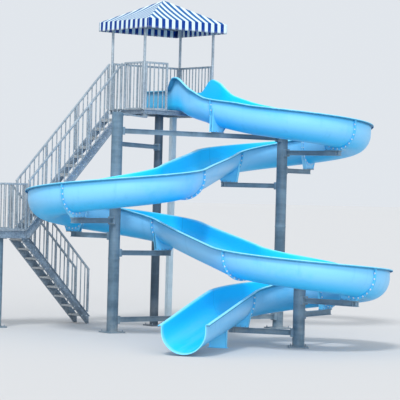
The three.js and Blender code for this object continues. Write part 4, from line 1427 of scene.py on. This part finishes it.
@dataclass
class Walkways(SubAssembly):
    """Deck, landing, both flights and all guards."""

    # Platforms in plan as x0, y0, x1, y1, with their depth and the places in X of their joists
    deck: tuple[float, float, float, float] = (1.364, 1.003, 3.340, 2.341)
    deck_top: float = 4.904
    deck_deep: float = 0.105
    deck_joists: Plan = (2.165, 3.005)
    landing: tuple[float, float, float, float] = (-2.200, 1.823, -1.070, 3.060)
    landing_deep: float = 0.180
    landing_joists: tuple[float] = (-1.63,)
    # How far the landing's wing runs on beside the upper flight, and the sides of both flights in Y
    wing: float = 0.275
    upper: Plan = (1.823, 2.403)
    lower: Plan = (2.460, 3.040)
    # The upper flight's riser, then the going and the number of risers of the upper and lower flight
    riser: float = 0.2126
    goings: Plan = (0.1872, 0.201)
    rises: tuple[int, int] = (13, 10)
    plank_wide: float = 0.19
    tread_deep: float = 0.072
    tread_wide: float = 0.225
    tread_bolt: float = 0.009
    # Channels: the stringers' depth and flange, the platform edges' flange, and the web of both
    channel: float = 0.178
    stringer_wide: float = 0.050
    edge_wide: float = 0.045
    web: float = 0.008
    joist: float = 0.100
    bearer: float = 0.040
    # Guards: the rail, the low rail's height, posts and bars, and how near to a post no bar stands
    rail: float = 0.044
    low_rail: float = 0.016
    post: float = 0.046
    bar: float = 0.020
    post_clear: float = 0.050
    # Reach and height of a post's foot, guard heights on deck and landing, and the bars' spacing
    guard_foot: Plan = (0.036, 0.008)
    guard_tall: Plan = (1.07, 1.03)
    pitch: float = 0.116
    # How far in from the edge guards stand, the gap at a corner, and the X at which the front one stops
    inset: float = 0.032
    gap: float = 0.0303
    entry: float = 2.044

    def build(self) -> None:
        """Builds the platforms, flights and guards."""
        landing_top = self.deck_top - self.rises[0] * self.riser
        x0, x1, y1 = self.deck[0], self.landing[2], self.landing[3]
        wing = (x1 - 0.001, self.upper[1] + 0.020, x1 + self.wing, y1)
        self._platform("deck", [self.deck], self.deck_top, self.deck_deep, self.deck_joists)
        self._platform("landing", [self.landing, wing], landing_top, self.landing_deep, self.landing_joists)
        (above, below), gap, low = self.goings, x0 - x1, self.rises[1]
        flights = [
            Flight("upper", x0, self.deck_top, -1, self.rises[0], self.riser, above, gap - SEAT, self.upper,
                   landing_top - self.landing_deep, (0.003, gap - 0.023), 1.06),
            Flight("lower", x1 + self.wing, landing_top, 1, low, landing_top / low, below, (low - 1) * below + 0.04,
                   self.lower, 0.0, (0.014, (low - 1) * below + 0.004), 1.03),
        ]
        for flight in flights:
            self._flight(flight)
        for guard in self._guards(landing_top, flights):
            self._guard(guard)

    def _platform(
        self, name: str, areas: Sequence[Sequence[float]], top: float, deep: float, joists: Sequence[float]
    ) -> None:
        """A platform: channels round its edge with their flanges outwards, joists and ribbed planks.

        Args:
            name: the piece's name, which its CAD node shares.
            areas: its rectangles in plan as x0, y0, x1, y1.
            top: height of its walking surface.
            deep: depth of its edge channels.
            joists: where joists cross it.
        """
        edge, planks = Form(f"{name}_frame"), Form(f"{name}_planks")
        low, under = top - deep, top - 0.013
        for x0, y0, x1, y1 in areas:
            sides = [((x0, y), (x1, y), out) for y, out in ((y0, -1), (y1, 1))]
            sides += [((x, y0 + 0.004), (x, y1 - 0.004), -out) for x, out in ((x0, -1), (x1, 1))]
            for a, b, out in sides:
                self._channel(edge, a, b, out, (low, top - 0.0125))
            lines = np.linspace(y0 + 0.002, y1 - 0.002, max(2, round((y1 - y0) / self.plank_wide)) + 1)
            for a, b in zip(lines, lines[1:]):
                self._plank(planks, (x0 + 0.002, x1 - 0.002), (a + 0.002, b - 0.002), top)
        x0, y0, x1, y1 = areas[0]
        clear, half, slim = 0.04, self.joist / 2, self.bearer / 2
        for x in joists:
            edge.block((x - half, y0 + clear, low), (x + half, y1 - clear, under))
        for share in (0.25, 0.5, 0.75):
            y = y0 + (y1 - y0) * share
            edge.block((x0 + clear, y - slim, low + 0.03), (x1 - clear, y + slim, under))
        self.place(edge, self.finishes.plate, Slot.PLATE, [f"{name}_platform"])
        self.place(planks, self.finishes.tread, Slot.PLATE)

    def _channel(self, form: Form, a: Plan, b: Plan, out: int, span: Plan) -> None:
        """An edge channel along one side: a C outline, web inside and flanges to the outer line.

        Args:
            form: takes it.
            a: its start.
            b: its end.
            out: 1 where the outside lies to its left, else -1.
            span: its lowest and highest height.
        """
        low, high = span
        z, tall, flange, inside = (low + high) / 2, (high - low) / 2, 0.009, self.edge_wide - self.web
        upper = [(inside, tall - flange), (0, tall - flange), (0, tall), (self.edge_wide, tall)]
        outline = np.array([(x, -y) for x, y in upper[2::-1]] + upper + [(self.edge_wide, -tall)])
        form.bars((*a, z), (*b, z), outline * [-out, 1])

    def _plank(self, form: Form, xs: Plan, ys: Plan, top: float) -> None:
        """A plank along X: a thin outline with ribs on its walking face and turned-down edges.

        Args:
            form: takes it.
            xs: its ends.
            ys: its edges.
            top: height of its walking face.
        """
        y0, y1 = ys
        y = np.linspace(y0, y1, 25)
        rib = np.where(np.arange(25) % 4 == 1, 0.0, -0.003)
        rib[[0, -1]] = -0.004
        edge = ((0.0, -0.012), (0.004, -0.012), (0.006, -0.0075))
        lower = [(y1 - cut, z) for cut, z in edge] + [(y0 + cut, z) for cut, z in edge[::-1]]
        form.bars((xs[0], 0, top), (xs[1], 0, top), np.concatenate([lay(y, rib), lower]))

    def _flight(self, flight: Flight) -> None:
        """A flight: two channel stringers with plumb ends and level feet, folded treads and their bolts.

        Args:
            flight: its sizes.
        """
        name, way, (left, right) = flight.name, flight.way, flight.sides
        steep = math.hypot(1, flight.riser / flight.going)
        tall, thick, wide = self.channel * steep, 0.011 * steep, self.stringer_wide
        inside, lift = wide - self.web, 0.010
        outline = np.array([
            [0, 0], [0, -thick], [inside, -thick * 1.25], [inside, -tall + thick * 1.25], [0, -tall + thick],
            [0, -tall], [wide, -tall], [wide, 0],
        ])
        stringers, treads, bolts = (Form(f"flight_{name}_{part}") for part in ("stringers", "treads", "bolts"))
        (xa, za), (xb, zb) = flight.at(SEAT), flight.at(flight.run)
        for y, out in ((left, -1), (right, 1)):
            stringers.bars((xa, y, za + lift), (xb, y, zb + lift), outline * [-out * way, 1], plumb=True)
        piece = self.place(stringers, self.finishes.plate, Slot.PLATE, [f"flight_{name}"])
        self._trim_foot(piece, flight.cut)
        ends = left + wide - 0.001, right - wide + 0.001
        seats = []
        for i in range(1, flight.rises):
            nose, z = flight.x + way * (i * flight.going + 0.020), flight.z - i * flight.riser
            self._tread(treads, (nose, z), way, ends)
            for y in (ends[0] - 0.008, ends[1] + 0.008):
                seats += [[nose - way * back, y, z - 0.03] for back in (0.05, 0.17)]
        axes = np.tile([[0, -1, 0], [0, -1, 0], [0, 1, 0], [0, 1, 0]], (flight.rises - 1, 1))
        bolts.copies(bolt_head(self.tread_bolt), frames_along(np.array(seats), axes))
        self.place(treads, self.finishes.tread, Slot.PLATE)
        self.place(bolts, self.finishes.bolt, Slot.STEEL)

    def _trim_foot(self, piece: bpy.types.Object, height: float) -> None:
        """Cuts a piece off level and closes the cut.

        Args:
            piece: the piece.
            height: where it is cut.
        """
        with editing(piece.data) as shell:
            everything = shell.verts[:] + shell.edges[:] + shell.faces[:]
            bmesh.ops.bisect_plane(
                shell, geom=everything, plane_co=(0, 0, height), plane_no=(0, 0, -1), clear_outer=True, dist=1e-6
            )
            bmesh.ops.holes_fill(shell, edges=[e for e in shell.edges if e.is_boundary], sides=0)

    def _tread(self, form: Form, nose: Plan, way: int, ends: Plan) -> None:
        """A folded tread: its ribbed top, deep front skirt, back upstand and the same line 5 mm inside, across Y.

        Args:
            form: takes it.
            nose: X and height of its nosing.
            way: 1 where the flight goes down towards +X.
            ends: its ends in Y.
        """
        deep, width, wall = self.tread_deep, self.tread_wide, 0.005
        rib = np.where(np.arange(19) % 3 == 1, 0.0, -0.0025)
        rib[[0, -1]] = -0.003
        outline = np.concatenate([
            [[0.0, -deep + 0.002], [0.0, -0.006]], lay(np.linspace(0, width, 19), rib),
            [[width, -0.045], [width - wall, -0.045], [width - wall, -0.009], [wall, -0.009], [wall, -deep + 0.012],
             [0.022, -deep + 0.012], [0.022, -deep], [0.002, -deep]],
        ])
        (x, z), (y0, y1) = nose, ends
        form.bars((x, y0, z), (x, y1, z), outline * [way, 1])

    def _guards(self, landing_top: float, flights: Sequence[Flight]) -> list[Guard]:
        """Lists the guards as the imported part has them: the deck's and landing's, then both sides of each flight.

        Args:
            landing_top: height of the landing's walking surface.
            flights: both flights.

        Returns:
            The guards.
        """
        x0, y0, x1, y1 = np.array(self.deck) + self.inset * np.array([1, 1, -1, -1])
        u0, v0, u1, v1 = np.array(self.landing) + self.inset * np.array([1, 1, 0, -1])
        gap, deck, landing = self.gap, (self.deck_top, self.guard_tall[0]), (landing_top, self.guard_tall[1])
        level = (
            ("guard_front", x0 + gap, y0, self.entry, y0, deck),
            ("guard_right", x1, y0 + gap, x1, y1 - gap, deck),
            ("guard_back", x0 + gap, y1, x1 - gap, y1, deck),
            ("guard_left", x0, y0 + gap, x0, self.upper[0] - 0.024, deck),
            ("landing_guard_near", u1 - 0.008, v0, u0 + self.inset, v0, landing),
            ("landing_guard_left", u0, v0 - 0.022, u0, v1 - self.inset, landing),
            ("landing_guard_far", u0 - 0.022, v1, u1 + self.wing - 0.008, v1, landing),
        )
        guards = [
            Guard(node, (ax, ay, z), (bx, by, z), tall, (0.5,) if node == "guard_back" else ())
            for node, ax, ay, bx, by, (z, tall) in level
        ]
        for flight in flights:
            (ax, az), (bx, bz) = (flight.at(distance) for distance in flight.rail)
            for side, y in (("near", flight.sides[0] + 0.025), ("far", flight.sides[1] - 0.025)):
                line = (ax, y, az + 0.010), (bx, y, bz + 0.010)
                guards.append(Guard(f"rail_{flight.name}_{side}", *line, flight.rail_height, (0.36, 0.68)))
        return guards

    def _guard(self, guard: Guard) -> None:
        """One guard: top rail, low rail, posts with feet, and bars spaced evenly between the posts.

        Args:
            guard: its sizes.
        """
        form = Form(f"{guard.node}_bars")
        a, run = np.array(guard.a), np.array(guard.b) - guard.a
        flat = math.hypot(run[0], run[1])
        slope, top = abs(run[2] / flat), UP * (guard.height - self.rail / 2)
        inset = self.post / 2 / flat
        form.bars(a + top, a + run + top, rounded(self.rail, self.rail, 0.008))
        posts = np.array([inset, *guard.middle, 1 - inset])
        feet = a + run * posts[:, None]
        low = SEAT + 0.010 * slope
        if not slope:
            low = self.low_rail
            form.bars(a + UP * low, a + run + UP * low, rounded(0.030, 0.031, 0.004))
        form.bars(feet + UP * (SEAT + self.post / 2 * slope), feet + top, rounded(self.post, self.post, 0.007))
        count = round(flat / self.pitch)
        shares = np.arange(1, count) / count
        clear = np.abs(shares[:, None] - posts).min(1) * flat >= self.post_clear
        bars = a + run * shares[clear][:, None]
        form.bars(bars + UP * low, bars + top, rounded(self.bar, self.bar, 0.003))
        if not slope:
            reach, tall = self.guard_foot
            for x, y, z in feet:
                form.block((x - reach, y - reach, z + SEAT), (x + reach, y + reach, z + tall))
        self.place(form, self.finishes.rail, Slot.RAIL, [guard.node])


# Canopy


@dataclass
class Canopy(SubAssembly):
    """The striped cloth cover with its valance, and the posts and bars under it."""

    centre: Plan = (2.336, 1.672)
    wide: float = 2.204
    deep: float = 1.970
    hem: float = 6.699
    eave: float = 6.916
    apex: float = 7.450
    # How far the cloth lies inside the solid's outline, its sag and thickness, and what slopes add to it laid flat
    inset: float = 0.004
    sag: float = 0.020
    thick: float = 0.0016
    cut: Plan = (0.24, 0.27)
    columns: int = 49
    deck_top: float = 4.904
    post: float = 0.030
    posts_x: Plan = (1.396, 3.308)
    posts_y: Plan = (1.035, 2.309)

    def build(self) -> None:
        """Builds the cover and posts, and dresses the frame."""
        self._cover()
        self._posts()
        self.carry_over(self.finishes.rail, "canopy_ring", "canopy_hips")

    def _side(self, turn: int) -> tuple[Array, Array]:
        """One side of the cover, valance and roof together.

        Rows go up from the hem to the eave and on to the apex. Across the side the cloth sags between its hips by
        a parabola, and the valance hangs in slow waves that fade out at the eave.

        Args:
            turn: which side, 0 to 3 counted from the front.

        Returns:
            Positions and run map as rows, columns.
        """
        length, reach = (self.wide / 2, self.deep / 2) if turn % 2 == 0 else (self.deep / 2, self.wide / 2)
        u = np.linspace(-1, 1, self.columns)[None, :]
        drop, rise = np.linspace(0, 1, 7)[:, None], np.linspace(0, 1, 19)[1:, None]
        across, eave, fade = u * length, self.eave - self.inset, 1 - u**8
        wave = 0.004 * np.sin(across * 17.2 + turn) + 0.003 * np.sin(across * 6.1 + 2 * turn)
        out = self.inset - reach - wave * fade * (1 - drop) ** 1.2 - 0.004 * (1 - drop) * fade
        hem = self.hem + 0.004 * np.sin(across * 34.3) ** 2 * (1 - drop)
        narrow = 1 - rise
        height = eave + (self.apex - self.eave) * rise - self.sag * 4 * rise * narrow * (1 - u**2)
        # Each row set: across, out and up, and its distance from the eave along the cloth
        valance = across, out, hem + (eave - hem) * drop, (drop - 1) * (self.eave - self.hem)
        slant = math.hypot(reach, self.apex - self.eave)
        roof = across * narrow, (self.inset - reach) * narrow, height, rise * slant
        rows = np.concatenate([lay(*part) for part in (valance, roof)])
        plan = swing(rows[..., :2], turn * math.pi / 2) + self.centre
        return np.concatenate([plan, rows[..., 2:3]], -1), rows[..., [0, 3]]

    def _cover(self) -> None:
        """Four sides sewn at the hips into one sheet and given the cloth's thickness."""
        form = Form("canopy_cloth")
        for turn in range(4):
            points, run = self._side(turn)
            form.add(points, [grid_faces(len(points), self.columns, False)], run)
        piece = self.place(form, self.finishes.cloth, Slot.CANOPY, ["canopy_cover"], 28.0)
        with editing(piece.data) as shell:
            bmesh.ops.remove_doubles(shell, verts=shell.verts, dist=0.0008)
            bmesh.ops.recalc_face_normals(shell, faces=shell.faces)
        cloth = piece.modifiers.new("cloth", "SOLIDIFY")
        cloth.thickness, cloth.offset = self.thick, -1.0

    def _posts(self) -> None:
        """Round posts from the deck to the ring, each with a foot flange and a head plate."""
        low, high, r = self.deck_top + SEAT, self.eave - 0.050 - SEAT, self.post
        profile = [(r + 0.004, low), (r + 0.004, low + 0.010), (r, low + 0.014), (r, high - 0.010),
                   (r + 0.003, high - 0.006), (r + 0.003, high)]
        for end, x in zip(("left", "right"), self.posts_x):
            for side, y in zip(("front", "back"), self.posts_y):
                form = Form(f"canopy_post_{side}_{end}_pipe")
                form.revolve((x, y), profile, 32)
                self.place(form, self.finishes.rail, Slot.RAIL, [f"canopy_post_{side}_{end}"])


# Studio


@dataclass
class Studio:
    """Plain pale floor, soft light and the camera at the photograph's angle."""

    finishes: Finishes
    lens: float = 173.61
    place: tuple[float, float, float] = (-23.4411, -34.323, 3.0782)
    yaw: float = 0.643
    pitch: float = -0.0042
    roll: float = 0.0264
    floor_reach: float = 400.0
    sky: Colour = (0.90, 0.945, 1.0)
    sky_strength: float = 0.84
    # Each sun's name, energy, and its width, tilt and turn in degrees
    suns: tuple[tuple[str, float, float, float, float], ...] = (
        ("key_light", 1.75, 12.0, 38.0, -52.0), ("fill_light", 1.4, 40.0, 76.0, -22.0),
    )

    def build(self) -> None:
        """Builds the floor, lights and camera."""
        self._floor()
        self._light()
        self._camera()

    def _floor(self) -> None:
        """A large level sheet just under the feet."""
        form = Form("studio_floor")
        x, y = np.meshgrid(*[np.linspace(-self.floor_reach, self.floor_reach, 3)] * 2)
        form.add(lay(x, y, -0.001), [grid_faces(3, 3, False)])
        floor = form.build(32.0)
        floor.data.materials.append(self.finishes.floor)

    def _light(self) -> None:
        """A wide soft sun from the upper left, a wider fill and a pale even sky."""
        scene = bpy.context.scene
        world = bpy.data.worlds.new("studio_sky")
        world.use_nodes = True
        sky = world.node_tree.nodes["Background"]
        sky.inputs[0].default_value = (*self.sky, 1.0)
        sky.inputs[1].default_value = self.sky_strength
        scene.world = world
        scene.view_settings.view_transform = "Standard"
        for name, energy, width, tilt, turn in self.suns:
            lamp = bpy.data.lights.new(name, "SUN")
            lamp.energy, lamp.angle = energy, math.radians(width)
            made = bpy.data.objects.new(name, lamp)
            made.rotation_euler = (math.radians(tilt), 0, math.radians(turn))
            scene.collection.objects.link(made)

    def _camera(self) -> None:
        """The camera, from its place, yaw, pitch and roll."""
        c, s = math.cos(self.yaw), math.sin(self.yaw)
        right = np.array([c, -s, 0.0])
        look = np.array([s, c, 0.0]) * math.cos(self.pitch) + UP * math.sin(self.pitch)
        up = np.cross(right, look)
        c, s = math.cos(self.roll), math.sin(self.roll)
        data = bpy.data.cameras.new("camera")
        data.lens, data.sensor_width, data.clip_end = self.lens, 36.0, 2000.0
        made = bpy.data.objects.new("camera", data)
        turn = Matrix(np.array([c * right + s * up, c * up - s * right, -look]).T.tolist()).to_4x4()
        turn.translation = self.place
        made.matrix_world = turn
        bpy.context.scene.collection.objects.link(made)
        bpy.context.scene.camera = made


def main() -> None:
    """Builds the tower's sub-assemblies in order."""
    logging.basicConfig(level=logging.INFO, format="%(name)s %(message)s")
    finishes = Finishes()
    Studio(finishes).build()
    for assembly in (Steelwork(finishes), Flume(finishes), Walkways(finishes), Canopy(finishes)):
        LOG.info("building %s", type(assembly).__name__)
        assembly.build()


if __name__ == "__main__":
    main()
